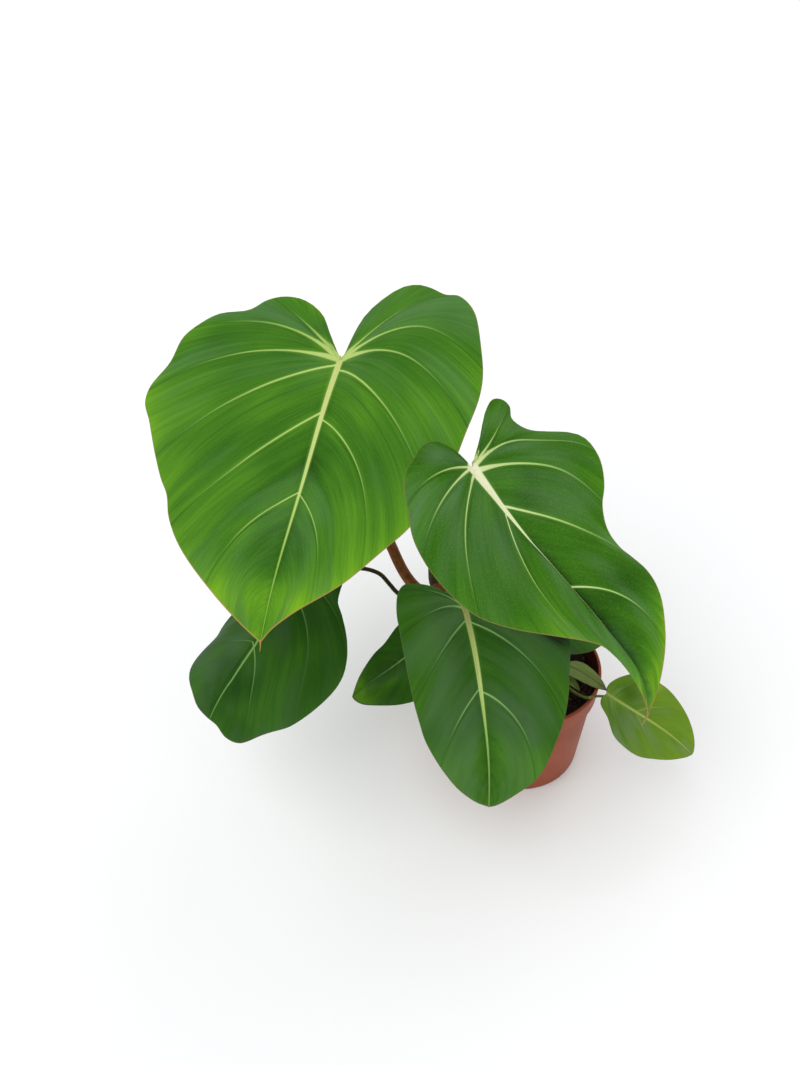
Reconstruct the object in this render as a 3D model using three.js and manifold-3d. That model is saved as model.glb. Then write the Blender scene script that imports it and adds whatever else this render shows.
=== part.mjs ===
// Philodendron gloriosum in a round nursery pot: the pot, its soil, the creeping rhizome, and for each
// leaf a stalk and a heart-shaped blade. Millimetres, +Z up, origin at the middle of the pot's base.

import * as THREE from 'three'
import { mergeVertices } from 'three/addons/utils/BufferGeometryUtils.js'
import Module from 'manifold-3d'

// Driving dimensions
const potRadius = 60
const potHeight = 105
const footRadius = 53
const bodyInset = 3.2
const wall = 1.6
const collarHeight = 19
const rimThickness = 2.8
const soilTop = 92
const drainHoles = 6
const drainRadius = 4.5
const drainCircle = 33
const bladeThickness = 0.8
const gap = 0.3
const holeClearance = 0.45
const rhizomeRadius = 7
const rhizomeStart = [-30, 8, 91]
const rhizomeEnd = [24, -8, 91]
const holeDepth = 0.8
const sheathHoleRadius = 4.3
const collarBottom = potHeight - collarHeight
const bodyTop = potRadius - bodyInset

const wasm = await Module()
wasm.setup()

const radians = Math.PI / 180

// A list of values spread evenly from the sinus (0) to the tip (1) of a blade.
function along(values, place) {
  const step = Math.min(Math.max(place, 0), 1) * (values.length - 1)
  const first = Math.min(Math.floor(step), values.length - 2)
  return values[first] + (values[first + 1] - values[first]) * (step - first)
}

// The directions of a blade at a distance from its sinus: tip is along the midrib, side is to the right,
// face is the upper side's normal.
function bladeAxes(leaf, distance) {
  const place = distance / leaf.length
  const drop = Math.max(-distance, 0) * leaf.lobeTurn
  const pitch = (along(leaf.pitch, place) + drop) * radians
  const heading = along(leaf.heading, place) * radians
  const roll = along(leaf.roll, place) * radians
  const tip = new THREE.Vector3(
    Math.cos(pitch) * Math.sin(heading), -Math.cos(pitch) * Math.cos(heading), -Math.sin(pitch))
  const level = new THREE.Vector3(Math.cos(heading), Math.sin(heading), 0)
  const raised = new THREE.Vector3().crossVectors(tip, level)
  const side = level.clone().multiplyScalar(Math.cos(roll)).addScaledVector(raised, Math.sin(roll))
  const face = raised.clone().multiplyScalar(Math.cos(roll)).addScaledVector(level, -Math.sin(roll))
  return { tip, side, face }
}

// The midrib as points a millimetre apart, from behind the sinus to past the tip.
const lobeReach = 60
const tipReach = 20
function midribPoints(leaf) {
  const points = new Map([[0, new THREE.Vector3(...leaf.sinus)]])
  for (let v = 1; v <= leaf.length + tipReach; v += 1) {
    points.set(v, points.get(v - 1).clone().add(bladeAxes(leaf, v - 0.5).tip))
  }
  for (let v = -1; v >= -lobeReach; v -= 1) {
    points.set(v, points.get(v + 1).clone().sub(bladeAxes(leaf, v + 0.5).tip))
  }
  return points
}

// A point of the bent blade: `across` is the distance from the midrib and `distance` runs along it.
// Each half leaves the midrib at its fold angle and curls back down as it goes out.
function bladePoint(leaf, half, across, distance) {
  const axes = bladeAxes(leaf, distance)
  const place = distance / leaf.length
  const fold = along(leaf.fold[half], place) * radians
  const curl = along(leaf.curl[half], place) * radians / 100 + 1e-6
  const out = (Math.sin(fold) - Math.sin(fold - curl * across)) / curl
  let up = (Math.cos(fold - curl * across) - Math.cos(fold)) / curl
  for (const dent of leaf.dents[half]) {
    up += dent.rise * (across / 80) ** 2 * Math.exp(-(((distance - dent.at) / dent.spread) ** 2))
  }
  const below = Math.floor(distance)
  return leaf.midrib.get(below).clone().lerp(leaf.midrib.get(below + 1), distance - below)
    .addScaledVector(axes.side, half === 'right' ? out : -out)
    .addScaledVector(axes.face, up)
}

// One rib line of a half: it starts on the midrib and ends on the margin, bent back towards the sinus.
// `phase` counts the side veins from the sinus (0) to the tip.
function ribLine(leaf, half, phase) {
  const last = leaf.veinStarts.length - 1
  const start = new THREE.Vector2(0, along(leaf.veinStarts, phase / last))
  const margin = leaf.margin[half].getPoint(along(leaf.veinEnds[half], phase / last))
  const end = new THREE.Vector2(margin.x, margin.y)
  const chord = end.clone().sub(start)
  const bend = along(leaf.veinBend[half], phase / last)
  const aside = new THREE.Vector2(chord.y, -chord.x).multiplyScalar(bend)
  const middle = start.clone().add(end).multiplyScalar(0.5).add(aside)
  return new THREE.QuadraticBezierCurve(start, middle, end)
}

// The blade as a closed solid: both faces carry the same triangles, the upper face swells a little
// between the side veins, and a ridge stands under the midrib.
function bladeGeometry(leaf) {
  const last = leaf.veinStarts.length - 1
  const columns = last * leaf.columnsPerVein
  const rows = leaf.rows
  const points = []
  const triangles = []
  const margins = []
  const known = new Map()

  function corner(half, column, row) {
    let key = `${half} ${column} ${row}`
    const rib = ribLine(leaf, half, column / leaf.columnsPerVein)
    if (row === 0) key = `midrib ${rib.v0.y.toFixed(4)}`
    if (column === 0) key = `midrib ${(0).toFixed(4)}`
    if (column === columns) key = 'tip'
    if (!known.has(key)) {
      const place = rib.getPoint(row / rows)
      const point = bladePoint(leaf, half, place.x, place.y)
      const swell = 0.5 - 0.5 * Math.cos(2 * Math.PI * column / leaf.columnsPerVein)
      const lift = leaf.swell * swell * Math.sin(Math.PI * row / rows)
      point.addScaledVector(bladeAxes(leaf, place.y).face, lift)
      known.set(key, points.length)
      points.push({ point, normal: new THREE.Vector3(), ridge: row === 0 ? 1 - place.y / leaf.length : 0 })
    }
    return known.get(key)
  }

  function triangle(a, b, c, half) {
    if (a === b || b === c || c === a) return
    triangles.push(half === 'right' ? [a, b, c] : [a, c, b])
  }

  for (const half of ['left', 'right']) {
    for (let column = 0; column < columns; column += 1) {
      for (let row = 0; row < rows; row += 1) {
        const a = corner(half, column, row)
        const b = corner(half, column + 1, row)
        const c = corner(half, column + 1, row + 1)
        const d = corner(half, column, row + 1)
        triangle(a, b, c, half)
        triangle(a, c, d, half)
      }
      margins.push([corner(half, column, rows), corner(half, column + 1, rows), half])
    }
  }

  for (const [a, b, c] of triangles) {
    const first = points[b].point.clone().sub(points[a].point)
    const second = points[c].point.clone().sub(points[a].point)
    const normal = first.cross(second)
    for (const place of [a, b, c]) points[place].normal.add(normal)
  }
  const position = []
  for (const side of [1, -1]) {
    for (const { point, normal, ridge } of points) {
      const offset = bladeThickness / 2 + (side < 0 ? leaf.ridge * ridge : 0)
      position.push(...point.clone().addScaledVector(normal.clone().normalize(), side * offset).toArray())
    }
  }
  const under = points.length
  const index = []
  for (const [a, b, c] of triangles) index.push(a, b, c, a + under, c + under, b + under)
  for (const [a, b, half] of margins) {
    if (half === 'right') index.push(a, b + under, a + under, a, b, b + under)
    else index.push(a, a + under, b + under, a, b + under, b)
  }
  const geometry = new THREE.BufferGeometry()
  geometry.setAttribute('position', new THREE.Float32BufferAttribute(position, 3))
  geometry.setIndex(index)
  return geometry
}

// A round stem along a smooth path, as rings joined by strips and closed by flat ends. `radius` gives
// the radius at a place from 0 (foot) to 1 (top).
function stemGeometry(path, steps, sides, radius) {
  const frames = path.computeFrenetFrames(steps, false)
  const position = []
  for (let step = 0; step <= steps; step += 1) {
    const centre = path.getPointAt(step / steps)
    for (let side = 0; side < sides; side += 1) {
      const angle = 2 * Math.PI * side / sides
      const point = centre.clone()
        .addScaledVector(frames.normals[step], radius(step / steps) * Math.cos(angle))
        .addScaledVector(frames.binormals[step], radius(step / steps) * Math.sin(angle))
      position.push(...point.toArray())
    }
  }
  const index = []
  for (let step = 0; step < steps; step += 1) {
    for (let side = 0; side < sides; side += 1) {
      const a = step * sides + side
      const b = step * sides + (side + 1) % sides
      index.push(a, b, b + sides, a, b + sides, a + sides)
    }
  }
  const top = steps * sides
  for (let side = 1; side < sides - 1; side += 1) {
    index.push(0, side + 1, side)
    index.push(top, top + side, top + side + 1)
  }
  const geometry = new THREE.BufferGeometry()
  geometry.setAttribute('position', new THREE.Float32BufferAttribute(position, 3))
  geometry.setIndex(index)
  return geometry
}

function solid(geometry) {
  const bare = geometry.index && !geometry.attributes.normal ? geometry : geometry.clone()
  bare.deleteAttribute('normal')
  bare.deleteAttribute('uv')
  const merged = mergeVertices(bare, 1e-4)
  return new wasm.Manifold(new wasm.Mesh({
    numProp: 3,
    vertProperties: new Float32Array(merged.attributes.position.array),
    triVerts: new Uint32Array(merged.index.array),
  }))
}

function cut(body, ...tools) {
  let result = solid(body)
  for (const tool of tools) result = result.subtract(solid(tool))
  const mesh = result.getMesh()
  const geometry = new THREE.BufferGeometry()
  geometry.setAttribute('position', new THREE.Float32BufferAttribute(mesh.vertProperties, 3))
  geometry.setIndex([...mesh.triVerts])
  return geometry
}

// A shape turned about the pot's axis, from [radius, height] points.
function turned(profile, segments) {
  const geometry = new THREE.LatheGeometry(profile.map(([r, z]) => new THREE.Vector2(r, z)), segments)
  return geometry.rotateX(Math.PI / 2)
}

function uprightCylinder(radius, bottom, top, x, y, sides) {
  const geometry = new THREE.CylinderGeometry(radius, radius, top - bottom, sides)
  return geometry.rotateX(Math.PI / 2).translate(x, y, (bottom + top) / 2)
}

// Finishes
const finishes = {
  terracottaPlastic: { color: 0x9a5742, roughness: 0.5 },
  pottingMix: { color: 0x1c120c, roughness: 1 },
  rhizomeSkin: { color: 0x3a2a18, roughness: 0.8 },
  redStalk: { color: 0x6b2f14, roughness: 0.5 },
  darkStalk: { color: 0x2e2f14, roughness: 0.5 },
  freshBlade: { color: 0x3f7a1f, roughness: 0.6 },
  darkBlade: { color: 0x2a5a1c, roughness: 0.6 },
  oliveBlade: { color: 0x5f8a2a, roughness: 0.6 },
  sheath: { color: 0x5c7a3a, roughness: 0.6 },
}
const material = (finish) => new THREE.MeshStandardMaterial({ ...finishes[finish], metalness: 0 })

// Blades. Angles in degrees run in even steps from the sinus to the tip: pitch is how far the midrib
// dips, heading turns it about +Z from -Y, roll raises its right side. Each margin goes [across, along]
// from the sinus round the lobe to the tip. veinEnds are places on the margin, counted in its points.
const leafShapes = {
  1: {
    finish: 'freshBlade', sinus: [-145.7, 88.2, 336.2], length: 209, lobeTurn: 0,
    pitch: [24.5, 28, 30.5, 38], heading: [-19, -14, -18, -11.5], roll: [12, 4, 7],
    fold: { left: [13, 10, 10], right: [30, 19, 21] }, curl: { left: [10, 11, 4], right: [4, 1, -4] },
    dents: { left: [], right: [] },
    margin: {
      left: [[0, 0], [7, -6], [17, -21], [27, -35], [45, -45], [62, -46], [75, -41], [86, -31], [111, -25],
        [124, -15], [133, -2], [133, 21], [139, 41], [137, 54], [126, 70], [101, 114], [92, 126], [85, 141],
        [71, 158], [39, 183], [13, 201], [0, 209]],
      right: [[0, 0], [3, -6], [4, -21], [10, -35], [24, -43], [45, -47], [64, -43], [82, -34], [101, -22],
        [114, -17], [127, -6], [134, 6], [138, 34], [135, 49], [124, 71], [111, 100], [96, 125], [80, 143],
        [59, 164], [22, 188], [7, 200], [0, 209]],
    },
    veinStarts: [0, 0, 0, 0, 4, 45, 106, 209],
    veinEnds: {
      left: [0, 5.6, 9.3, 12.2, 14.6, 17.3, 18.8, 21],
      right: [0, 8.2, 11.7, 13.8, 15.5, 17.5, 18.6, 21],
    },
    veinBend: {
      left: [0, 0.05, 0.24, 0.22, 0.17, 0.1, 0.2, 0.1],
      right: [0, 0.24, 0.28, 0.25, 0.18, 0.22, 0.26, 0.1],
    },
    columnsPerVein: 5, rows: 5, swell: 1.6, ridge: 2.6,
    stalk: {
      finish: 'redStalk', radii: [4.6, 3.8], arrive: [-0.15, 0.1, 0.98],
      route: [[-13, 15.5, 80], [-14, 15.5, 98], [-42, 16, 132], [-76, 14, 164], [-96, 14, 186],
        [-110.5, 25, 213], [-127, 50, 257], [-140, 77, 304]],
    },
  },
  2: {
    finish: 'darkBlade', sinus: [-61, -45.2, 345.5], length: 191, lobeTurn: 0,
    pitch: [30.5, 35.5, 31.5, 77], heading: [41.5, 54, 50, 54.5], roll: [4, 6, 6],
    fold: { left: [16, 15, 18, 45], right: [20, 24, 28, 31] },
    curl: { left: [43, 47, 31], right: [22, 34, 30] },
    dents: { left: [], right: [{ at: -2, spread: 19, rise: -36 }] },
    margin: {
      left: [[0, 0], [1, -7], [4, -16], [12, -25], [22, -26], [31, -22], [40, -18], [48, -10], [54, 1],
        [62, 15], [66, 32], [66, 48], [63, 64], [52, 83], [32, 107], [21, 119], [13, 129], [9, 142], [8, 159],
        [7, 176], [0, 191]],
      right: [[0, 0], [5, -4], [15, -12], [28, -24], [36, -28], [42, -25], [45, -19], [43, -13], [48, -6],
        [56, 0], [67, 6], [72, 13], [72, 40], [69, 50], [61, 61], [50, 70], [42, 82], [40, 94], [43, 116],
        [40, 129], [29, 147], [15, 167], [5, 183], [0, 191]],
    },
    veinStarts: [0, 0, 0, 3, 32, 92, 191],
    veinEnds: { left: [0, 7.5, 9.6, 12.1, 15, 17.5, 20], right: [0, 5.8, 11.3, 14.2, 16.6, 20.3, 23] },
    veinBend: { left: [0, 0.2, 0.15, 0.15, 0.2, 0.15, 0.1], right: [0, 0.05, 0.2, 0.25, 0.2, 0.3, 0.1] },
    columnsPerVein: 5, rows: 5, swell: 1.6, ridge: 2.6,
    stalk: {
      finish: 'darkStalk', radii: [4.2, 3.6], arrive: [0.25, -0.4, 0.88],
      route: [[3, 9.7, 80], [1, 10, 98], [-30, 10, 138], [-62, 8, 170], [-77, 6, 190], [-79, 8, 203],
        [-77, 2, 240], [-72, -14, 290], [-65, -33, 327]],
    },
  },
  3: {
    finish: 'darkBlade', sinus: [-59, -26, 202], length: 146, lobeTurn: -1.6,
    pitch: [11, 32, 48, 60.5], heading: [13.5, 9.5, 10, -2.5], roll: [-23, -3, 4],
    fold: { left: [38, 26, 8], right: [18, 22, 13] }, curl: { left: [36, 36, 20], right: [36, 20, 15] },
    dents: { left: [], right: [] },
    margin: {
      left: [[0, 0], [8, -2], [20, -2], [40, -1], [58, 0], [68, 2], [73, 8], [73, 17], [69, 26], [60, 48],
        [51, 75], [46, 90], [31, 118], [21, 132], [9, 142], [0, 146]],
      right: [[0, 0], [6, -8], [18, -20], [36, -26], [54, -20], [66, -6], [72, 14], [72, 37], [67, 49],
        [63, 61], [59, 76], [54, 89], [48, 100], [35, 121], [19, 134], [5, 144], [0, 146]],
    },
    veinStarts: [0, 0, 2, 12, 61, 146],
    veinEnds: { left: [0, 5.6, 8.1, 9.6, 11.7, 15], right: [0, 4.6, 6.8, 10.8, 13.2, 16] },
    veinBend: { left: [0, 0.05, 0.1, 0.15, 0.2, 0.1], right: [0, 0.1, 0.2, 0.2, 0.25, 0.1] },
    columnsPerVein: 5, rows: 5, swell: 1.4, ridge: 2,
    stalk: {
      finish: 'redStalk', radii: [3.2, 2.4], arrive: [0.62, -0.75, -0.2],
      route: [[-13.6, -7.4, 80], [-15, -8, 98], [-42, -10, 135], [-68, -11, 170], [-80, -9, 195],
        [-76, -9, 205]],
    },
  },
  4: {
    finish: 'darkBlade', sinus: [-185, 29, 180], length: 132, lobeTurn: 0,
    pitch: [6, 12, 27.5, 46], heading: [-19.5, -27, -43.5, -23], roll: [7, 5, 4],
    fold: { left: [-22, -24, -19], right: [6, 1, 0] }, curl: { left: [32, 28, 23], right: [11, 15, 14] },
    dents: { left: [], right: [] },
    margin: {
      left: [[0, 0], [6, -12], [20, -24], [38, -26], [54, -16], [61, 0], [62, 26], [73, 53], [75, 78],
        [70, 97], [60, 110], [48, 117], [31, 123], [17, 129], [0, 132]],
      right: [[0, 0], [6, -12], [18, -22], [32, -18], [40, -6], [43, 11], [46, 20], [61, 35], [73, 50],
        [78, 62], [76, 77], [63, 107], [46, 126], [30, 140], [18, 140], [8, 134], [0, 132]],
    },
    veinStarts: [0, 0, 2, 14, 67, 132],
    veinEnds: { left: [0, 3.6, 5.5, 7.2, 9, 14], right: [0, 3.6, 8.3, 10.7, 13.7, 16] },
    veinBend: { left: [0, 0.1, 0.15, 0.2, 0.15, 0.1], right: [0, 0.1, 0.15, 0.15, 0.2, 0.1] },
    columnsPerVein: 5, rows: 5, swell: 1.4, ridge: 1.8,
    stalk: {
      finish: 'darkStalk', radii: [1.9, 1.6], arrive: [-0.9, -0.25, 0.2],
      route: [[-27, -2.5, 80], [-28, -2.5, 97], [-54, 4, 130], [-84, 11, 157], [-106, 18, 169],
        [-113, 24, 174], [-120, 31, 177], [-135, 37, 177], [-155, 36, 174], [-172, 30, 174]],
    },
  },
  5: {
    finish: 'darkBlade', sinus: [-79, 12, 118], length: 79, lobeTurn: 0,
    pitch: [16.5, 27.5, 24.5, 34], heading: [-67, -62, -67.5, -61], roll: [-5, -5, 0],
    fold: { left: [12, 12, 10], right: [12, 12, 10] }, curl: { left: [40, 40, 20], right: [40, 40, 20] },
    dents: { left: [], right: [] },
    margin: {
      left: [[0, 0], [6, -8], [16, -12], [26, -8], [30, 4], [27, 16], [21, 32], [19, 45], [11, 63], [0, 79]],
      right: [[0, 0], [6, -9], [18, -13], [32, -8], [40, 6], [42, 22], [38, 38], [31, 53], [15, 73], [6, 78],
        [0, 79]],
    },
    veinStarts: [0, 0, 3, 30, 79],
    veinEnds: { left: [0, 3.4, 5.5, 7.4, 9], right: [0, 3.4, 5.8, 7.6, 10] },
    veinBend: { left: [0, 0.1, 0.2, 0.2, 0.1], right: [0, 0.1, 0.2, 0.2, 0.1] },
    columnsPerVein: 4, rows: 4, swell: 0.9, ridge: 1.2,
    stalk: {
      finish: 'darkStalk', radii: [2, 1.6], arrive: [-0.9, -0.2, 0.3],
      route: [[-39, 10.6, 80], [-40, 10.6, 96], [-48, 11, 106], [-58, 12, 111]],
    },
  },
  6: {
    finish: 'oliveBlade', sinus: [58, -35, 110], length: 80, lobeTurn: 0,
    pitch: [16.5, 14.5, 17, 28], heading: [59.5, 61.5, 57, 50], roll: [-1, 0, 0],
    fold: { left: [13, 9, 10], right: [12, 9, 10] }, curl: { left: [29, 31, 19], right: [29, 31, 19] },
    dents: { left: [], right: [] },
    margin: {
      left: [[0, 0], [7, -2], [14, -1], [22, 8], [34, 18], [37, 30], [36, 42], [29, 55], [21, 65], [13, 71.5],
        [6, 76], [0, 78.5]],
      right: [[0, 0], [6, -2], [14, 0], [25, 7], [33, 16], [36, 30], [35, 41], [26, 57], [15.5, 69],
        [7.5, 75.5], [2.5, 78], [0, 78.5]],
    },
    veinStarts: [0, 1, 7, 26, 78.5],
    veinEnds: { left: [0, 3.2, 5.6, 7.6, 11], right: [0, 3, 5.5, 7.2, 11] },
    veinBend: { left: [0, 0.1, 0.2, 0.2, 0.1], right: [0, 0.1, 0.2, 0.2, 0.1] },
    columnsPerVein: 4, rows: 4, swell: 0.9, ridge: 1.2,
    stalk: {
      finish: 'darkStalk', radii: [1.6, 0.9], arrive: [0.97, -0.1, 0.1],
      route: [[25, -13.5, 80], [25.2, -13.7, 94], [28, -16.5, 97], [32, -21, 98.5], [35.4, -26.3, 100.3],
        [39.2, -32.2, 103.5], [43.1, -36, 106.3], [46.9, -35.8, 107.1], [50.1, -35.3, 107.3]],
    },
  },
  7: {
    finish: 'darkBlade', sinus: [-17, 6, 171], length: 80, lobeTurn: 0,
    pitch: [4, 8, 16, 28], heading: [80, 80, 79, 76], roll: [-6, -6, -6],
    fold: { left: [8, 8, 8], right: [8, 8, 8] }, curl: { left: [30, 30, 20], right: [30, 30, 20] },
    dents: { left: [], right: [] },
    margin: {
      left: [[0, 0], [5, -10], [18, -18], [32, -12], [41, 4], [45, 24], [44, 44], [35, 60], [18, 73],
        [0, 80]],
      right: [[0, 0], [5, -10], [18, -18], [32, -12], [40, 4], [42, 24], [37, 46], [27, 61], [14, 73],
        [0, 80]],
    },
    veinStarts: [0, 0, 3, 28, 80],
    veinEnds: { left: [0, 3.5, 5.5, 7.2, 9], right: [0, 3.5, 5.5, 7.2, 9] },
    veinBend: { left: [0, 0.1, 0.2, 0.2, 0.1], right: [0, 0.1, 0.2, 0.2, 0.1] },
    columnsPerVein: 4, rows: 4, swell: 0.9, ridge: 1.2,
    stalk: {
      finish: 'darkStalk', radii: [2.2, 1.8], arrive: [-0.25, -0.1, 0.96],
      route: [[16, 4.5, 80], [15, 4, 98], [10, 3, 120], [0, 4, 142], [-8, 5, 156]],
    },
  },
}

// Cataphylls, the narrow sheath leaves: they have no stalk and stand in a plain hole in the soil.
const sheathShapes = {
  1: {
    finish: 'sheath', sinus: [28, 5, 88], length: 56, lobeTurn: 0,
    pitch: [-80, -44, -8, 2, 10], heading: [38, 43, 45, 44], roll: [14, 14],
    fold: { left: [3, 3], right: [3, 3] }, curl: { left: [20, 20], right: [20, 20] },
    dents: { left: [], right: [] },
    margin: {
      left: [[0, 0], [1.8, 0.5], [2.6, 6], [5.6, 14], [8, 25], [7, 37], [4.4, 48], [0, 56]],
      right: [[0, 0], [1.8, 0.5], [2.6, 6], [5.4, 14], [7.6, 25], [7, 36], [4, 48], [0, 56]],
    },
    veinStarts: [0, 2, 56], veinEnds: { left: [0, 1.2, 7], right: [0, 1.2, 7] },
    veinBend: { left: [0, 0, 0], right: [0, 0, 0] },
    columnsPerVein: 6, rows: 2, swell: 0, ridge: 0,
  },
  2: {
    finish: 'sheath', sinus: [30.2, -4.6, 88], length: 28, lobeTurn: 0,
    pitch: [-74, -40, -8, 2], heading: [18, 26, 30], roll: [0, 0],
    fold: { left: [8, 8], right: [8, 8] }, curl: { left: [0, 0], right: [0, 0] },
    dents: { left: [], right: [] },
    margin: {
      left: [[0, 0], [1.8, 0.5], [2.6, 5], [4.2, 13], [2.6, 22], [0, 28]],
      right: [[0, 0], [1.8, 0.5], [2.6, 5], [4.2, 13], [2.6, 22], [0, 28]],
    },
    veinStarts: [0, 2, 28], veinEnds: { left: [0, 1.2, 5], right: [0, 1.2, 5] },
    veinBend: { left: [0, 0, 0], right: [0, 0, 0] },
    columnsPerVein: 5, rows: 2, swell: 0, ridge: 0,
  },
}

for (const leaf of [...Object.values(leafShapes), ...Object.values(sheathShapes)]) {
  leaf.midrib = midribPoints(leaf)
  const margins = leaf.margin
  leaf.margin = {}
  for (const half of ['left', 'right']) {
    const corners = margins[half].map(([across, distance]) => new THREE.Vector3(across, distance, 0))
    const curve = new THREE.CatmullRomCurve3(corners, false, 'centripetal')
    leaf.margin[half] = { getPoint: (place) => curve.getPoint(place / (corners.length - 1)) }
  }
}

// The stalk's path: up its route, then under the sinus, where its end stops short of the blade's ridge.
function stalkPath(leaf, lowered) {
  const { tip, face } = bladeAxes(leaf, 0)
  const arrive = new THREE.Vector3(...leaf.stalk.arrive).normalize()
  const radius = leaf.stalk.radii[1]
  const slope = arrive.clone().cross(face).length()
  const depth = bladeThickness / 2 + leaf.ridge + gap + radius * slope
  const end = new THREE.Vector3(...leaf.sinus)
    .addScaledVector(tip, radius + 0.5)
    .addScaledVector(face, -depth)
  const before = end.clone().addScaledVector(arrive, -2.2 * radius)
  const points = leaf.stalk.route.map((place) => new THREE.Vector3(...place))
  points[0].z -= lowered
  return new THREE.CatmullRomCurve3([...points, before, end], false, 'centripetal')
}

// `extra` widens it and `lowered` starts it deeper, for the hole it stands in.
function stalkGeometry(leaf, extra = 0, lowered = 0) {
  const [foot, top] = leaf.stalk.radii
  const path = stalkPath(leaf, lowered)
  const steps = Math.ceil(path.getLength() / (leaf.stalk.radii[0] > 3 ? 14 : 10))
  return stemGeometry(path, steps, 8, (place) => foot + (top - foot) * place + extra)
}

// The rhizome lies half sunk in the soil, knobbly at each old leaf scar, with rounded ends.
function rhizomeGeometry(extra = 0) {
  const start = new THREE.Vector3(...rhizomeStart)
  const end = new THREE.Vector3(...rhizomeEnd)
  const direction = end.clone().sub(start).normalize()
  start.addScaledVector(direction, -extra)
  end.addScaledVector(direction, extra)
  const shape = [0.45, 0.85, 1, 0.94, 1, 0.94, 1, 0.94, 1, 0.82, 0.4]
  const path = new THREE.LineCurve3(start, end)
  const radius = (place) => rhizomeRadius * shape[Math.round(place * (shape.length - 1))] + extra
  return stemGeometry(path, shape.length - 1, 10, radius)
}

function potGeometry() {
  const profile = [
    [0, 0], [footRadius, 0], [footRadius + 0.6, 0.8], [bodyTop, collarBottom],
    [potRadius - 0.8, collarBottom], [potRadius, potHeight - 1], [potRadius - 0.8, potHeight],
    [potRadius - rimThickness, potHeight],
    [potRadius - rimThickness - 0.4, collarBottom + wall], [bodyTop - wall, collarBottom - 1],
    [footRadius - wall, wall], [0, wall],
  ]
  const holes = []
  for (let hole = 0; hole < drainHoles; hole += 1) {
    const angle = 2 * Math.PI * (hole + 0.5) / drainHoles
    const x = drainCircle * Math.cos(angle)
    const y = drainCircle * Math.sin(angle)
    holes.push(uprightCylinder(drainRadius, -1, wall + 1, x, y, 12))
  }
  return cut(turned(profile, 48), ...holes)
}

// The soil fills the pot to below the rim, with a plain hole for each stalk and sheath and a bed for
// the rhizome.
function soilGeometry() {
  const bottom = wall + gap
  const bottomRadius = footRadius - wall - holeClearance
  const shoulder = collarBottom - 2
  const shoulderRadius = bottomRadius + (bodyTop - footRadius) * shoulder / collarBottom
  const profile = [
    [0, bottom], [bottomRadius, bottom], [shoulderRadius, shoulder], [shoulderRadius + 0.4, soilTop - 4],
    [shoulderRadius - 3, soilTop - 1.5], [40, soilTop], [24, soilTop - 1], [0, soilTop],
  ]
  const beds = [rhizomeGeometry(holeClearance)]
  for (const leaf of Object.values(leafShapes)) {
    beds.push(stalkGeometry(leaf, holeClearance, holeDepth))
  }
  for (const leaf of Object.values(sheathShapes)) {
    const [x, y, z] = leaf.sinus
    beds.push(uprightCylinder(sheathHoleRadius, z - holeDepth, soilTop + 4, x, y, 8))
  }
  return cut(turned(profile, 36), ...beds)
}

const group = new THREE.Group()
function addPart(name, geometry, finish) {
  const mesh = new THREE.Mesh(geometry, material(finish))
  mesh.name = name
  group.add(mesh)
}

addPart('pot', potGeometry(), 'terracottaPlastic')
addPart('soil', soilGeometry(), 'pottingMix')
addPart('rhizome', rhizomeGeometry(), 'rhizomeSkin')
for (const [number, leaf] of Object.entries(leafShapes)) {
  addPart(`leaf_blade_${number}`, bladeGeometry(leaf), leaf.finish)
  addPart(`leaf_stalk_${number}`, stalkGeometry(leaf), leaf.stalk.finish)
}
for (const [number, leaf] of Object.entries(sheathShapes)) {
  addPart(`cataphyll_${number}`, bladeGeometry(leaf), leaf.finish)
}

export default group
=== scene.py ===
import math
import random

import bmesh
import bpy
from mathutils import Matrix, Vector, noise


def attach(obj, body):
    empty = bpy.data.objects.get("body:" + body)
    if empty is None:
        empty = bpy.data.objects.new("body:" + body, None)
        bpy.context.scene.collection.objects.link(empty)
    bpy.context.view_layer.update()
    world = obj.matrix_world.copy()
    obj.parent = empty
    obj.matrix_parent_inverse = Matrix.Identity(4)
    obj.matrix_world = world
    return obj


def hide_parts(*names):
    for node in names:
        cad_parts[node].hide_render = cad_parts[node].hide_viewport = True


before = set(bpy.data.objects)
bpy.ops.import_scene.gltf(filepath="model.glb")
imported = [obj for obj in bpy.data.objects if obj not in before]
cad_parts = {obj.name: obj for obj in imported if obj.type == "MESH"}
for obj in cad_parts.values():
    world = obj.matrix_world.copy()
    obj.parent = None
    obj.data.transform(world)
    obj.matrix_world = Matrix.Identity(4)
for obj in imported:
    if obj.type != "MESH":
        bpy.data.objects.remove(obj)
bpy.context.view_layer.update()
millimetre = 0.001
print("frame loaded")


def linearColour(hexValue):
    channels = [int(hexValue[place:place + 2], 16) / 255 for place in (1, 3, 5)]
    linear = [c / 12.92 if c <= 0.04045 else ((c + 0.055) / 1.055) ** 2.4 for c in channels]
    return (*linear, 1.0)


# settings that many nodes share
ofColours = {"data_type": "RGBA"}
smoothly = {"interpolation_type": "SMOOTHSTEP"}
times = {"operation": "MULTIPLY"}


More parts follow.
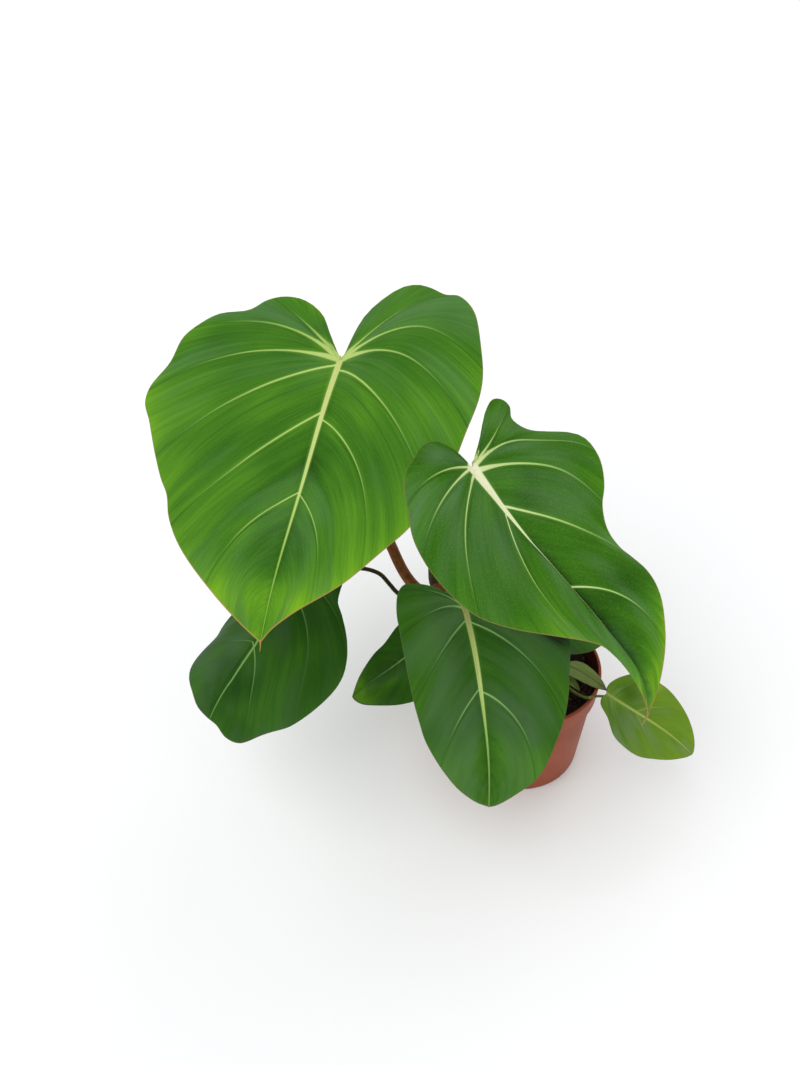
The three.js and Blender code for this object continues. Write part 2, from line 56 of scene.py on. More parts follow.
# Adds a node with its settings and links. Its inputs are named, or a list in the order of the sockets in
# use. A node stands for its first output in use and a hex string for its colour.
def addNode(tree, kind, settings=None, inputs=None, tones=None):
    node = tree.nodes.new("ShaderNode" + kind)
    for key, value in (settings or {}).items():
        setattr(node, key, value)
    if isinstance(inputs, list):
        pairs = zip([socket for socket in node.inputs if socket.enabled], inputs)
    else:
        pairs = [(node.inputs[socketName], value) for socketName, value in (inputs or {}).items()]
    for socket, value in pairs:
        if isinstance(value, bpy.types.Node):
            value = next(output for output in value.outputs if output.enabled)
        if isinstance(value, bpy.types.NodeSocket):
            tree.links.new(value, socket)
        else:
            socket.default_value = linearColour(value) if isinstance(value, str) else value
    if tones:
        stops = node.color_ramp.elements
        while len(stops) < len(tones):
            stops.new(1)
        for place, tone in enumerate(tones):
            stops[place].position = place / (len(tones) - 1)
            stops[place].color = linearColour(tone)
    return node


def newMaterial(name):
    material = bpy.data.materials.new(name)
    material.use_nodes = True
    material.node_tree.nodes.clear()
    return material, material.node_tree


# Closes a material with its surface, in fine relief of a given strength and a depth in millimetres.
def closeMaterial(tree, pattern, strength, depth, inputs):
    relief = addNode(tree, "Bump", None, {
        "Strength": strength, "Distance": depth * millimetre, "Height": pattern})
    surface = addNode(tree, "BsdfPrincipled", None, {**inputs, "Normal": relief})
    addNode(tree, "OutputMaterial", None, [surface])


def addObject(name, data):
    made = bpy.data.objects.new(name, data)
    bpy.context.scene.collection.objects.link(made)
    return made


def newPiece(name, points, faces, material):
    mesh = bpy.data.meshes.new(name)
    mesh.from_pydata([Vector(point) * millimetre for point in points], [], faces)
    mesh.update()
    mesh.validate()
    mesh.polygons.foreach_set("use_smooth", [True] * len(mesh.polygons))
    mesh.materials.append(material)
    return addObject(name, mesh)


def shapedPiece(name, shape, material):
    mesh = bpy.data.meshes.new(name)
    shape.to_mesh(mesh)
    shape.free()
    mesh.materials.append(material)
    return addObject(name, mesh)


def writeValues(piece, name, values):
    attribute = piece.data.attributes.new(name, "FLOAT", "POINT")
    attribute.data.foreach_set("value", values)


def finishPiece(piece, node):
    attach(piece, "root")
    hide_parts(node)


# Faces of a closed tube of rings of points.
def tubeFaces(rings, sides, first=0):
    faces = []
    for ring in range(rings - 1):
        for turn in range(sides):
            a = first + ring * sides + turn
            b = first + ring * sides + (turn + 1) % sides
            faces.append((a, b, b + sides, a + sides))
    faces.append(tuple(first + turn for turn in reversed(range(sides))))
    faces.append(tuple(first + (rings - 1) * sides + turn for turn in range(sides)))
    return faces


# A list of values spread evenly from place 0 to place 1.
def along(values, place):
    step = min(max(place, 0), 1) * (len(values) - 1)
    first = min(int(step), len(values) - 2)
    return values[first] + (values[first + 1] - values[first]) * (step - first)


# The same with its corners rounded, so that no crease shows where the values turn.
def rounded(values, place):
    return sum(along(values, place + shift * 0.04) for shift in range(-3, 4)) / 7


# A smooth curve through points: a place of 2.5 is half way from the third point to the fourth.
def smoothPoint(points, place):
    last = len(points) - 1
    first = min(int(place), last - 1)
    weight = place - first
    b, c = points[first], points[first + 1]
    a = points[first - 1] if first > 0 else 2 * b - c
    d = points[first + 2] if first + 2 <= last else 2 * c - b
    stepBefore = (b - a).length ** 0.5
    step = (c - b).length ** 0.5
    stepAfter = (d - c).length ** 0.5
    leave = ((b - a) / stepBefore - (c - a) / (stepBefore + step)) * step + (c - b)
    reach = (c - b) + ((d - c) / stepAfter - (d - b) / (step + stepAfter)) * step
    squared, cubed = weight ** 2, weight ** 3
    return (b + leave * weight + (3 * (c - b) - 2 * leave - reach) * squared
            + (2 * (b - c) + leave + reach) * cubed)


# 1 at no distance, fading to nothing over about twice the width.
def bump(distance, width):
    return math.exp(-(distance / max(width, 0.05)) ** 2)


# A smooth step from 0 at low to 1 at high.
def rise(low, high, value):
    part = min(max((value - low) / (high - low), 0), 1)
    return part * part * (3 - 2 * part)


camera = {
    "place": (-0.104, -0.465, 0.684),
    "down": 43,  # degrees below level
    "lens": 30.42,
}

cameraData = bpy.data.cameras.new("camera")
cameraData.lens = camera["lens"]
cameraData.sensor_width = 36
cameraData.clip_start = 0.01
cameraObject = addObject("camera", cameraData)
cameraObject.location = camera["place"]
cameraObject.rotation_euler = (math.radians(90 - camera["down"]), 0, 0)
bpy.context.scene.camera = cameraObject

studio = {
    "ambient": 0.72,
    "ambientColour": "#fcfdff",
    "suns": {  # where it shines from, strength, spread in degrees
        "key": ((-0.55, -0.45, 1.0), 1.25, 55),
        "rim": ((0.5, 0.9, 0.8), 0.35, 40),
    },
    "floorTones": ("#fafafa", "#fdfdfd"),
    "floorHalf": 9000,  # half the board's side
    "floorDrop": 0.5,  # below the pot's base, so that the two never share a plane
}

world = bpy.data.worlds.new("studio")
world.use_nodes = True
background = world.node_tree.nodes["Background"]
background.inputs["Color"].default_value = linearColour(studio["ambientColour"])
background.inputs["Strength"].default_value = studio["ambient"]
bpy.context.scene.world = world
bpy.context.scene.view_settings.view_transform = "Standard"

for sunName, (place, strength, spread) in studio["suns"].items():
    sunData = bpy.data.lights.new(sunName, "SUN")
    sunData.energy = strength
    sunData.angle = math.radians(spread)
    sun = addObject(sunName, sunData)
    sun.location = place
    sun.rotation_euler = (-Vector(place)).to_track_quat("-Z", "Y").to_euler()

# Board, painted matt: a pale, even white that takes only a soft shadow. Its grain runs over the whole
# board, in clouds about 450 mm across.
floorPaint, tree = newMaterial("mattPaintedBoard")
grain = addNode(tree, "TexNoise", None, {"Scale": 2 * studio["floorHalf"] / 450, "Detail": 3.0})
tone = addNode(tree, "Mix", ofColours, [grain, *studio["floorTones"]])
surface = addNode(tree, "BsdfPrincipled", None, {
    "Base Color": tone, "Roughness": 0.9, "Specular IOR Level": 0.1})
addNode(tree, "OutputMaterial", None, [surface])
corners = [(-1, -1), (1, -1), (1, 1), (-1, 1)]
floorPoints = [(x * studio["floorHalf"], y * studio["floorHalf"], -studio["floorDrop"]) for x, y in corners]
newPiece("floorBoard", floorPoints, [(0, 1, 2, 3)], floorPaint)
print("camera, light and floor placed")


# The same values for the left half of a leaf and the right one.
def both(values):
    return values, values


# Angles in degrees run in even steps from the sinus (the notch where the stalk joins) to the tip: pitch
# is how far the midrib dips, heading turns it about +Z from -Y, roll raises its right side, fold is how
# steeply each half rises from the midrib and curl how far it bends down over 100 mm. A pair holds the
# left half, then the right one. lobeTurn dips the midrib's line further behind the sinus.
# Each margin goes (across, along) in millimetres from the sinus round the lobe to the tip. Side veins
# start on the midrib at veinStarts and end at veinEnds, places on the margin counted in its points.
# veinBend bows them, veins and midrib are half widths, veinShows is how far out a vein stays pale,
# veinShift moves its start between its neighbours, branch widens it near the sinus and sway moves the
# midrib's course. Swell (between veins), pleat and ridge (the midrib below) are heights. Columns count
# the grid between two side veins. Glow is how bright a half is from sinus to tip, edgeGlow adds to it at
# the margin, midribShade darkens it beside the midrib with painted shade and grey is its painted grey
# sheen. Dents are along, spread and rise; spots are across, along, size, brighter, greyer, and paint
# patches of tone, painted shade, painted shadows cast by other leaves and painted sheen. A stalk has a
# radius at its foot and its top and arrives at the sinus in a direction of its own.
plainLeaf = {
    "lobeTurn": 0, "dents": ([], []), "sway": [0, 0], "crease": None, "tail": None,
    "columns": 14, "swell": 0.9, "pleat": 0.2, "ridge": 1.2, "branch": (0.3, 0.3, 8),
    "veinShift": both([0, 0]), "glow": both([0.5, 0.5]), "edgeGlow": both([0, 0, 0.05, 0.1]),
    "grey": (0, 0), "midribShade": (0.05, 0.1), "spots": [],
}

leafBlades = {
    1: {
        "skin": "fresh", "sinus": (-145.7, 88.2, 336.2), "length": 209, "pitch": [24.5, 28, 30.5, 38],
        "heading": [-19, -14, -18, -11.5], "roll": [12, 4, 7], "fold": ([13, 10, 10], [30, 19, 21]),
        "curl": ([10, 11, 4], [4, 1, -4]),
        "margin": (
            [(0, 0), (5.8, -6.8), (16.6, -21.2), (27, -35), (45, -45), (62, -46), (75, -41), (86, -31),
             (111, -25), (124, -15), (133, -2), (133, 21), (139, 41), (137, 54), (126, 70), (101, 114),
             (92, 126), (85, 141), (71, 158), (39, 183), (13, 201), (0, 209)],
            [(0, 0), (1.8, -6.4), (4, -21), (10, -35), (24, -43), (45, -47), (64, -43), (82, -34),
             (101, -22), (114, -17), (127, -6), (134, 6), (138, 34), (135, 49), (124, 71), (111, 100),
             (96, 125), (80, 143), (59, 164), (22, 188), (7, 200), (0, 209)]),
        "veinStarts": [0, 0, 0, 0, 4, 45, 106, 209],
        "veinEnds": ([0, 5.6, 9.3, 12.2, 14.6, 17.3, 18.8, 21], [0, 8.2, 12, 13.8, 15.5, 17.5, 18.6, 21]),
        "veinBend": ([-0.3, 0.05, 0.24, 0.22, 0.17, 0.1, 0.2, 0.1],
                     [-0.35, 0.24, 0.33, 0.29, 0.18, 0.22, 0.26, 0.1]),
        "veins": ([0.3, 0.5, 0.62, 0.7, 0.85, 0.75, 0.45, 0], [0.3, 0.4, 0.62, 0.62, 0.65, 0.42, 0.28, 0]),
        "veinShows": ([0.5, 0.85, 0.95, 1, 1, 0.95, 0.85, 0.2], [0.5, 0.8, 0.95, 1, 1, 0.9, 0.75, 0.2]),
        "veinShift": ([0, 0, 0, 0, 0, -0.06, -0.03, 0], [0, 0, 0, 0, 0.12, 0.07, 0, 0]),
        "branch": (1.8, 1.9, 24), "midrib": [3.1, 2.2, 1.55, 1.1, 0.75, 0.45, 0.25], "ridge": 2.6,
        "swell": 1.6, "pleat": 0.7, "columns": 22,
        "glow": ([0.45, 0.45, 0.46, 0.5, 0.85], [0.42, 0.48, 0.48, 0.5, 0.85]),
        "edgeGlow": ([0.1, 0.3, 0.15, 0.2, 0], [0, 0.1, 0.15, 0.3, 0]), "grey": (0.14, 0.12),
        "midribShade": (0.05, 0.25),
        "spots": [
            (-66, -28, 16, -0.22, 0), (-24, -20, 11, -0.22, 0), (-98, -10, 18, -0.18, 0),
            (-130, 8, 12, -0.15, 0), (-118, 82, 22, 0.16, -0.1), (-78, 142, 18, -0.15, 0.05),
            (-42, 115, 17, -0.15, 0), (-24, 92, 12, -0.15, 0.1), (8, 85, 14, -0.25, 0),
            (43, 100, 17, -0.2, 0.15), (-3, 160, 14, -0.15, 0.1), (20, 140, 13, -0.12, 0.2),
            (-38, 172, 15, 0.04, 0), (-12, 184, 15, 0.08, 0), (14, 184, 13, 0.06, 0),
            (38, 160, 15, 0.04, 0)],
        "tail": {"radius": 0.7, "route": [(-2, 0, 0), (0, 0, 0), (2.6, 0.5, -0.1), (5.6, 0.5, -0.6)]},
        "stalk": {
            "skin": "red", "radii": (4.6, 3.8), "arrive": (-0.15, 0.1, 0.98),
            "route": [(-13, 15.5, 80), (-14, 15.5, 98), (-42, 16, 132), (-76, 14, 164), (-96, 14, 186),
                      (-110.5, 25, 213), (-127, 50, 257), (-140, 77, 304)],
        },
    },
    2: {
        "skin": "deep", "sinus": (-61, -45.2, 345.5), "length": 191, "pitch": [30.5, 35.5, 31.5, 77],
        "heading": [41.5, 54, 50, 54.5], "roll": [4, 6, 6], "fold": ([16, 15, 18, 45], [20, 24, 28, 31]),
        "curl": ([43, 47, 31], [22, 34, 30]), "dents": ([], [(-2, 19, -36)]),
        "margin": (
            [(0, 0), (1, -7), (4, -16), (12, -25), (22, -26), (31, -22), (40, -18), (48, -10), (54, 1),
             (62, 15), (66, 32), (66, 48), (63, 64), (52, 83), (32, 107), (21, 119), (13, 129), (9, 142),
             (8, 159), (7, 176), (0, 191)],
            [(0, 0), (5, -4), (15, -12), (28, -24), (36, -28), (42, -25), (45, -19), (43, -13), (48, -6),
             (56, 0), (67, 6), (72, 13), (72, 40), (69, 50), (61, 61), (50, 70), (42, 82), (40, 94),
             (43, 116), (40, 129), (29, 147), (15, 167), (5, 183), (0, 191)]),
        "veinStarts": [0, 0, 0, 3, 32, 92, 191],
        "veinEnds": ([0, 7.8, 9.6, 12.1, 15, 17.5, 20], [0, 5.8, 12, 14.8, 17.4, 20.3, 23]),
        "veinBend": ([-0.4, 0.24, 0.15, 0.15, 0.2, 0.15, 0.1], [-0.1, -0.08, 0.44, 0.38, 0.15, 0.3, 0.1]),
        "veins": ([0.3, 0.45, 0.55, 0.55, 0.4, 0, 0], [0.3, 0.5, 0.7, 0.8, 0.75, 0.5, 0]),
        "veinShows": ([0.5, 0.95, 1, 1.1, 1.1, 0.2, 0.2], [0.5, 1.1, 1.3, 1.3, 1.3, 1, 0.2]),
        "veinShift": ([0, 0, 0, 0, 0, 0, 0], [0, 0, 0, 0, -0.12, 0, 0]), "branch": (0.5, 1.1, 12),
        "midrib": [3.7, 2, 0.8, 0.3, 0.2, 0.2, 0.2, 0.2, 0.2], "ridge": 2.6, "swell": 1.6, "pleat": 0.5,
        "columns": 22,
        "glow": ([0.45, 0.44, 0.46, 0.5, 0.55, 0.95], [0.42, 0.45, 0.43, 0.46, 0.55, 0.98]),
        "edgeGlow": ([0, 0, 0.05, 0.3, 0.35, 0.2], [0.05, 0.1, 0.1, 0.15, 0.35, 0.2]),
        "grey": (0.28, 0.12), "midribShade": (0.1, 0.15),
        "spots": [
            # spots with a large grey share are painted sheen
            (-25, 66, 14, 0.02, -0.4), (-24, 96, 17, 0.1, -0.25), (28, 110, 13, -0.22, -0.25),
            (8, 140, 12, -0.18, 0), (8, 116, 8, -0.1, 0), (-44, -4, 14, 0.05, 0.4),
            (-20, -18, 11, 0, 0.45), (4, 166, 9, 0.15, -0.2), (32, -18, 12, 0.2, 0.7),
            (42, 42, 7, 0, 0.4), (44, 58, 8, 0, 0.45), (36, 90, 7, 0.1, 0.45), (40, 104, 8, 0.1, 0.4),
            (26, 24, 8, -0.2, 0), (16, 34, 7, -0.15, 0)],
        "crease": {"half": 0, "from": 0.26, "to": 0.97, "height": 4.2, "offset": 4.4, "width": 3.2},
        "tail": {"radius": 0.8, "route": [(-2, 0, 0), (0, 0, 0), (1.6, -2, -0.2), (3.2, -4.2, -0.6),
                                          (5, -6.4, -1.1)]},
        "stalk": {
            "skin": "dark", "radii": (4.2, 3.6), "arrive": (0.25, -0.4, 0.88),
            "route": [(3, 9.7, 80), (1, 10, 98), (-30, 10, 138), (-62, 8, 170), (-77, 6, 190),
                      (-79, 8, 203), (-77, 2, 240), (-72, -14, 290), (-65, -33, 327)],
        },
    },
    3: {
        "skin": "dim", "sinus": (-59, -26, 202), "length": 146, "lobeTurn": -1.6,
        "pitch": [11, 32, 48, 60.5], "heading": [13.5, 9.5, 10, -2.5], "roll": [-23, -3, 4],
        "fold": ([38, 26, 8], [18, 22, 13]), "curl": ([36, 36, 20], [36, 20, 15]),
        "margin": (
            [(0, 0), (8, -2), (20, -2), (40, -1), (58, 0), (68, 2), (73, 8), (73, 17), (69, 26),
             (60, 48), (51, 75), (46, 90), (31, 118), (21, 132), (9, 142), (0, 146)],
            [(0, 0), (6, -8), (18, -20), (36, -26), (54, -20), (66, -6), (72, 14), (72, 37), (67, 49),
             (63, 61), (59, 76), (54, 89), (48, 100), (35, 121), (19, 134), (5, 144), (0, 146)]),
        "veinStarts": [0, 0, 2, 12, 61, 146],
        "veinEnds": ([0, 5.6, 8.1, 9.6, 11.7, 15], [0, 4.6, 6.8, 10.8, 13.2, 16]),
        "veinBend": ([0, 0.05, 0.1, 0.15, 0.2, 0.1], [-0.1, 0.1, 0.2, 0.2, 0.25, 0.1]),
        "veins": ([0.3, 0.45, 0.5, 0.62, 0.5, 0], [0.3, 0.4, 0.45, 0.6, 0.55, 0]),
        "veinShows": ([0.5, 0.85, 0.95, 1, 0.95, 0.2], [0.5, 0.8, 0.9, 1.05, 1.05, 0.2]),
        "veinShift": ([0, 0, 0, -0.02, 0, 0], [0, 0, 0, 0, 0.03, 0]), "branch": (0.8, 0.8, 12),
        "midrib": [3.4, 2.6, 1.85, 0.9, 0.55, 0.35], "ridge": 2, "swell": 1.4, "pleat": 0.3,
        "columns": 18, "glow": ([0.52, 0.5, 0.5, 0.55], [0.4, 0.46, 0.5, 0.55]), "grey": (0.3, 0.1),
        "spots": [
            # the first five paint the shadow that leaf 2's edge casts here
            (12, 3, 9, -0.3, -0.2), (25, 10, 10, -0.35, -0.3), (38, 17, 11, -0.35, -0.3),
            (52, 24, 12, -0.4, -0.3), (66, 30, 12, -0.45, -0.3), (8, 40, 16, 0.12, 0.1),
            (18, 74, 6, -0.35, 0.6), (26, 86, 6, -0.4, 0.8), (31, 97, 5, -0.3, 0.6), (-10, 98, 5, 0, 0.5),
            (-14, 106, 5, 0, 0.4), (-44, 30, 14, 0.1, 0.1)],
        "stalk": {
            "skin": "red", "radii": (3.2, 2.4), "arrive": (0.62, -0.75, -0.2),
            "route": [(-13.6, -7.4, 80), (-15, -8, 98), (-42, -10, 135), (-68, -11, 170), (-80, -9, 195),
                      (-76, -9, 205)],
        },
    },
    4: {
        "skin": "shade", "sinus": (-185, 29, 180), "length": 132, "pitch": [6, 12, 27.5, 46],
        "heading": [-19.5, -27, -43.5, -23], "roll": [7, 5, 4], "fold": ([-22, -24, -19], [6, 1, 0]),
        "curl": ([32, 28, 23], [11, 15, 14]),
        "margin": (
            [(0, 0), (6, -12), (20, -24), (38, -26), (54, -16), (61, 0), (62, 26), (73, 53), (75, 78),
             (70, 97), (60, 110), (48, 117), (31, 123), (17, 129), (0, 132)],
            [(0, 0), (6, -12), (18, -22), (32, -18), (40, -6), (43, 11), (46, 20), (61, 35), (73, 50),
             (78, 62), (76, 77), (63, 107), (46, 126), (30, 140), (18, 140), (8, 134), (0, 132)]),
        "veinStarts": [0, 0, 2, 14, 67, 132],
        "veinEnds": ([0, 3.6, 5.5, 7.2, 9, 14], [0, 3.6, 8.3, 10.7, 13, 16]),
        "veinBend": ([-0.2, 0.1, 0.15, 0.2, 0.15, 0.1], [-0.2, 0.1, 0.15, 0.15, 0.3, 0.1]),
        "veins": ([0.3, 0.3, 0.4, 0.4, 0.15, 0], [0.3, 0.4, 0.5, 0.5, 0.5, 0]),
        "veinShows": ([0.5, 0.7, 0.8, 0.9, 0.5, 0.2], [0.5, 0.8, 1.1, 1.2, 1.2, 0.2]),
        "branch": (0.3, 0.3, 10), "midrib": [1.2, 1.1, 0.95, 0.65, 0.3], "sway": [0, 0, 3.5, 5.5, 1],
        "ridge": 1.8, "swell": 1.4, "pleat": 0.35, "columns": 18,
        "glow": ([0.45, 0.45, 0.5, 0.5], [0.4, 0.45, 0.5, 0.55]), "grey": (0.35, 0.05),
        "spots": [
            (-6, 122, 13, -0.15, 0), (23, 131, 12, -0.2, 0), (48, 50, 16, 0.2, 0), (42, 25, 12, 0.12, 0),
            (12, 104, 11, -0.2, -0.2), (24, 92, 10, -0.12, -0.2), (-20, 92, 14, -0.15, 0.1),
            (44, 108, 14, 0, -0.3)],
        "stalk": {
            "skin": "dark", "radii": (1.9, 1.6), "arrive": (-0.9, -0.25, 0.2),
            "route": [(-27, -2.5, 80), (-28, -2.5, 97), (-54, 4, 130), (-84, 11, 157), (-106, 18, 169),
                      (-113, 24, 174), (-120, 31, 177), (-135, 37, 177), (-155, 36, 174), (-172, 30, 174)],
        },
    },
    5: {
        "skin": "shade", "sinus": (-79, 12, 118), "length": 79, "pitch": [16.5, 27.5, 24.5, 34],
        "heading": [-67, -62, -67.5, -61], "roll": [-5, -5, 0], "fold": both([12, 12, 10]),
        "curl": both([40, 40, 20]),
        "margin": (
            [(0, 0), (6, -8), (16, -12), (26, -8), (30, 4), (27, 16), (21, 32), (19, 45), (11, 63),
             (0, 79)],
            [(0, 0), (6, -9), (18, -13), (32, -8), (40, 6), (42, 22), (38, 38), (31, 53), (15, 73),
             (6, 78), (0, 79)]),
        "veinStarts": [0, 0, 3, 30, 79], "veinEnds": ([0, 3.4, 5.5, 7.4, 9], [0, 3.4, 5.8, 7.6, 10]),
        "veinBend": both([-0.3, 0.1, 0.2, 0.2, 0.1]), "veins": both([0, 0.1, 0.15, 0.1, 0]),
        "veinShows": both([0.5, 0.7, 0.7, 0.7, 0.2]), "midrib": [0.9, 0.7, 0.45, 0.15], "pleat": 0.3,
        "glow": both([0.5, 0.55, 0.65, 0.95]), "grey": (0.3, 0.3), "midribShade": (0.05, 0.05),
        "spots": [
            (11, 36, 5, 0.1, 0.25), (12, 44, 5, 0.1, 0.25), (10, 52, 5, 0.1, 0.2), (8, 60, 5, 0.05, 0.15),
            (-12, 44, 8, -0.1, 0), (22, 44, 7, -0.1, 0), (0, 74, 9, 0.25, -0.3)],
        "stalk": {
            "skin": "dark", "radii": (2, 1.6), "arrive": (-0.9, -0.2, 0.3),
            "route": [(-39, 10.6, 80), (-40, 10.6, 96), (-48, 11, 106), (-58, 12, 111)],
        },
    },
    6: {
        "skin": "olive", "sinus": (58, -35, 110), "length": 80, "pitch": [16.5, 14.5, 17, 28],
        "heading": [59.5, 61.5, 57, 50], "roll": [-1, 0, 0], "fold": ([13, 9, 10], [12, 9, 10]),
        "curl": both([29, 31, 19]),
        "margin": (
            [(0, 0), (7, -2), (14, -1), (22, 8), (34, 18), (37, 30), (36, 42), (29, 55), (21, 65),
             (13, 71.5), (6, 76), (0, 78.5)],
            [(0, 0), (6, -2), (14, 0), (25, 7), (33, 16), (36, 30), (35, 41), (26, 57), (15.5, 69),
             (7.5, 75.5), (2.5, 78), (0, 78.5)]),
        "veinStarts": [0, 1, 7, 26, 78.5], "veinEnds": ([0, 3.2, 5.6, 7.6, 11], [0, 3, 5.5, 7.2, 11]),
        "veinBend": both([0, 0.1, 0.2, 0.2, 0.1]), "veins": ([0, 0, 0.12, 0.2, 0], [0, 0, 0.1, 0.3, 0]),
        "veinShows": ([0.05, 0.05, 0.4, 0.5, 0.2], [0.05, 0.05, 0.3, 0.7, 0.2]), "branch": (0, 0, 8),
        "midrib": [1.15, 1.1, 0.95, 0.8, 0.55, 0.15],
        "glow": ([0.45, 0.5, 0.55, 0.7], [0.5, 0.55, 0.6, 0.7]), "grey": (0.15, 0), "midribShade": (0, 0),
        "spots": [
            (11, 16, 9, -0.4, 0), (-14, 18, 9, -0.15, 0.3), (30, 30, 9, 0.35, 0), (-12, 34, 12, 0, 0.2),
            (0, 4, 6, 0.15, 0.25)],
        "stalk": {
            "skin": "pale", "radii": (1.6, 0.9), "arrive": (0.97, -0.1, 0.1),
            "route": [(25, -13.5, 80), (25.2, -13.7, 94), (28, -16.5, 97), (32, -21, 98.5),
                      (35.4, -26.3, 100.3), (39.2, -32.2, 103.5), (43.1, -36, 106.3),
                      (46.9, -35.8, 107.1), (50.1, -35.3, 107.3)],
        },
    },
    7: {
        "skin": "shade", "sinus": (-17, 6, 171), "length": 80, "pitch": [4, 8, 16, 28],
        "heading": [80, 80, 79, 76], "roll": [-6, -6, -6], "fold": both([8, 8, 8]),
        "curl": both([30, 30, 20]),
        "margin": (
            [(0, 0), (5, -10), (18, -18), (32, -12), (41, 4), (45, 24), (44, 44), (35, 60), (18, 73),
             (0, 80)],
            [(0, 0), (5, -10), (18, -18), (32, -12), (40, 4), (42, 24), (37, 46), (27, 61), (14, 73),
             (0, 80)]),
        "veinStarts": [0, 0, 3, 28, 80], "veinEnds": both([0, 3.5, 5.5, 7.2, 9]),
        "veinBend": both([-0.4, 0.1, 0.2, 0.2, 0.1]), "veins": both([0.2, 0.3, 0.35, 0.3, 0]),
        "veinShows": both([0.5, 0.7, 0.7, 0.7, 0.2]), "midrib": [1, 0.7, 0.4, 0.25],
        "glow": both([0.4, 0.45, 0.5, 0.6]), "grey": (0.2, 0.2), "midribShade": (0.05, 0.05),
        "stalk": {
            "skin": "dark", "radii": (2.2, 1.8), "arrive": (-0.25, -0.1, 0.96),
            "route": [(16, 4.5, 80), (15, 4, 98), (10, 3, 120), (0, 4, 142), (-8, 5, 156)],
        },
    },
}
leafBlades = {number: {**plainLeaf, **leaf} for number, leaf in leafBlades.items()}

bladeThickness = 0.5
rowPlaces = [0, 0.006, 0.014, 0.024, 0.036, 0.05, 0.068, 0.09, 0.115, 0.145, 0.18, 0.22, 0.26, 0.3, 0.34,
             0.38, 0.42, 0.46, 0.5, 0.54, 0.58, 0.62, 0.66, 0.7, 0.74, 0.78, 0.82, 0.86, 0.895, 0.925,
             0.95, 0.97, 0.985, 0.994, 1]
veinCrowding = 0.55  # how far the columns of the grid draw together at each side vein
lobeReach = 60  # how far the midrib's line runs on behind the sinus, under the lobes
tipReach = 20  # and past the tip
bladeValues = ("phase", "reach", "spacing", "across", "down", "edge", "veinHalf", "veinShow", "midribHalf",
               "glow", "grey")  # what the mesh tells the material


# The directions of a blade at a distance from its sinus: along the midrib, to the right, and out of
# the upper side.
def bladeAxes(leaf, distance):
    place = distance / leaf["length"]
    pitch = math.radians(rounded(leaf["pitch"], place) + max(-distance, 0) * leaf["lobeTurn"])
    heading = math.radians(rounded(leaf["heading"], place))
    roll = math.radians(rounded(leaf["roll"], place))
    tip = Vector((math.cos(pitch) * math.sin(heading), -math.cos(pitch) * math.cos(heading),
                  -math.sin(pitch)))
    level = Vector((math.cos(heading), math.sin(heading), 0))
    raised = tip.cross(level)
    right = level * math.cos(roll) + raised * math.sin(roll)
    face = raised * math.cos(roll) - level * math.sin(roll)
    return tip, right, face


def midribPoints(leaf):
    points = {0: Vector(leaf["sinus"])}
    for distance in range(1, leaf["length"] + tipReach + 1):
        points[distance] = points[distance - 1] + bladeAxes(leaf, distance - 0.5)[0]
    for distance in range(-1, -lobeReach - 1, -1):
        points[distance] = points[distance + 1] - bladeAxes(leaf, distance + 0.5)[0]
    return points


# A point of the bent blade. Each half leaves the midrib at its fold angle and curls down going out.
def bladePoint(leaf, midrib, half, across, distance, lift):
    _, right, face = bladeAxes(leaf, distance)
    place = distance / leaf["length"]
    fold = math.radians(rounded(leaf["fold"][half], place))
    curl = math.radians(rounded(leaf["curl"][half], place)) / 100 + 1e-6
    out = (math.sin(fold) - math.sin(fold - curl * across)) / curl
    up = (math.cos(fold - curl * across) - math.cos(fold)) / curl + lift
    for at, spread, height in leaf["dents"][half]:
        up += height * (across / 80) ** 2 * math.exp(-((distance - at) / spread) ** 2)
    below = math.floor(distance)
    start = midrib[below].lerp(midrib[below + 1], distance - below)
    return start + right * (out if half else -out) + face * up


# A rib line of a half as start, middle and end of a bent line on the flat leaf. Its phase counts the
# side veins from the sinus (0) to the tip.
def ribLine(leaf, half, phase):
    place = phase / (len(leaf["veinStarts"]) - 1)
    start = Vector((0, along(leaf["veinStarts"], place)))
    margin = [Vector((x, y, 0)) for x, y in leaf["margin"][half]]
    end = smoothPoint(margin, along(leaf["veinEnds"][half], place)).to_2d()
    chord = end - start
    middle = (start + end) / 2 + Vector((chord.y, -chord.x)) * along(leaf["veinBend"][half], place)
    return start, middle, end


def curvePoint(line, reach):
    start, middle, end = line
    return start * (1 - reach) ** 2 + middle * (2 * reach * (1 - reach)) + end * reach ** 2


# Points of one rib. Between two veins it blends both and is drawn out to the margin, so ribs never cross.
def ribPoints(leaf, half, phase, reaches):
    line = ribLine(leaf, half, phase)
    if phase <= 1:
        return [curvePoint(line, reach) for reach in reaches]
    first = min(int(phase), len(leaf["veinStarts"]) - 2)
    part = phase - first
    before, after = ribLine(leaf, half, first), ribLine(leaf, half, first + 1)
    outward = line[2] - before[2].lerp(after[2], part)
    return [curvePoint(before, reach).lerp(curvePoint(after, reach), part) + outward * reach ** 3
            for reach in reaches]


# How far the pale line leaves its rib near the midrib, where a vein starts beside it.
def veinShift(leaf, half, phase, reach):
    return along(leaf["veinShift"][half], phase / (len(leaf["veinStarts"]) - 1)) * (1 - reach) ** 6


def veinCourse(leaf, half, number):
    course = []
    for reach in rowPlaces:
        course += ribPoints(leaf, half, number + veinShift(leaf, half, number, reach), [reach])
    return course


# How far a place on the flat leaf is from a course, searched near one of its rows.
def veinDistance(course, place, row):
    nearest = 1e6
    for step in range(max(row - 9, 0), min(row + 9, len(course) - 1)):
        start, span = course[step], course[step + 1] - course[step]
        part = min(max((place - start).dot(span) / max(span.length_squared, 1e-9), 0), 1)
        nearest = min(nearest, (place - start - span * part).length_squared)
    return math.sqrt(nearest)


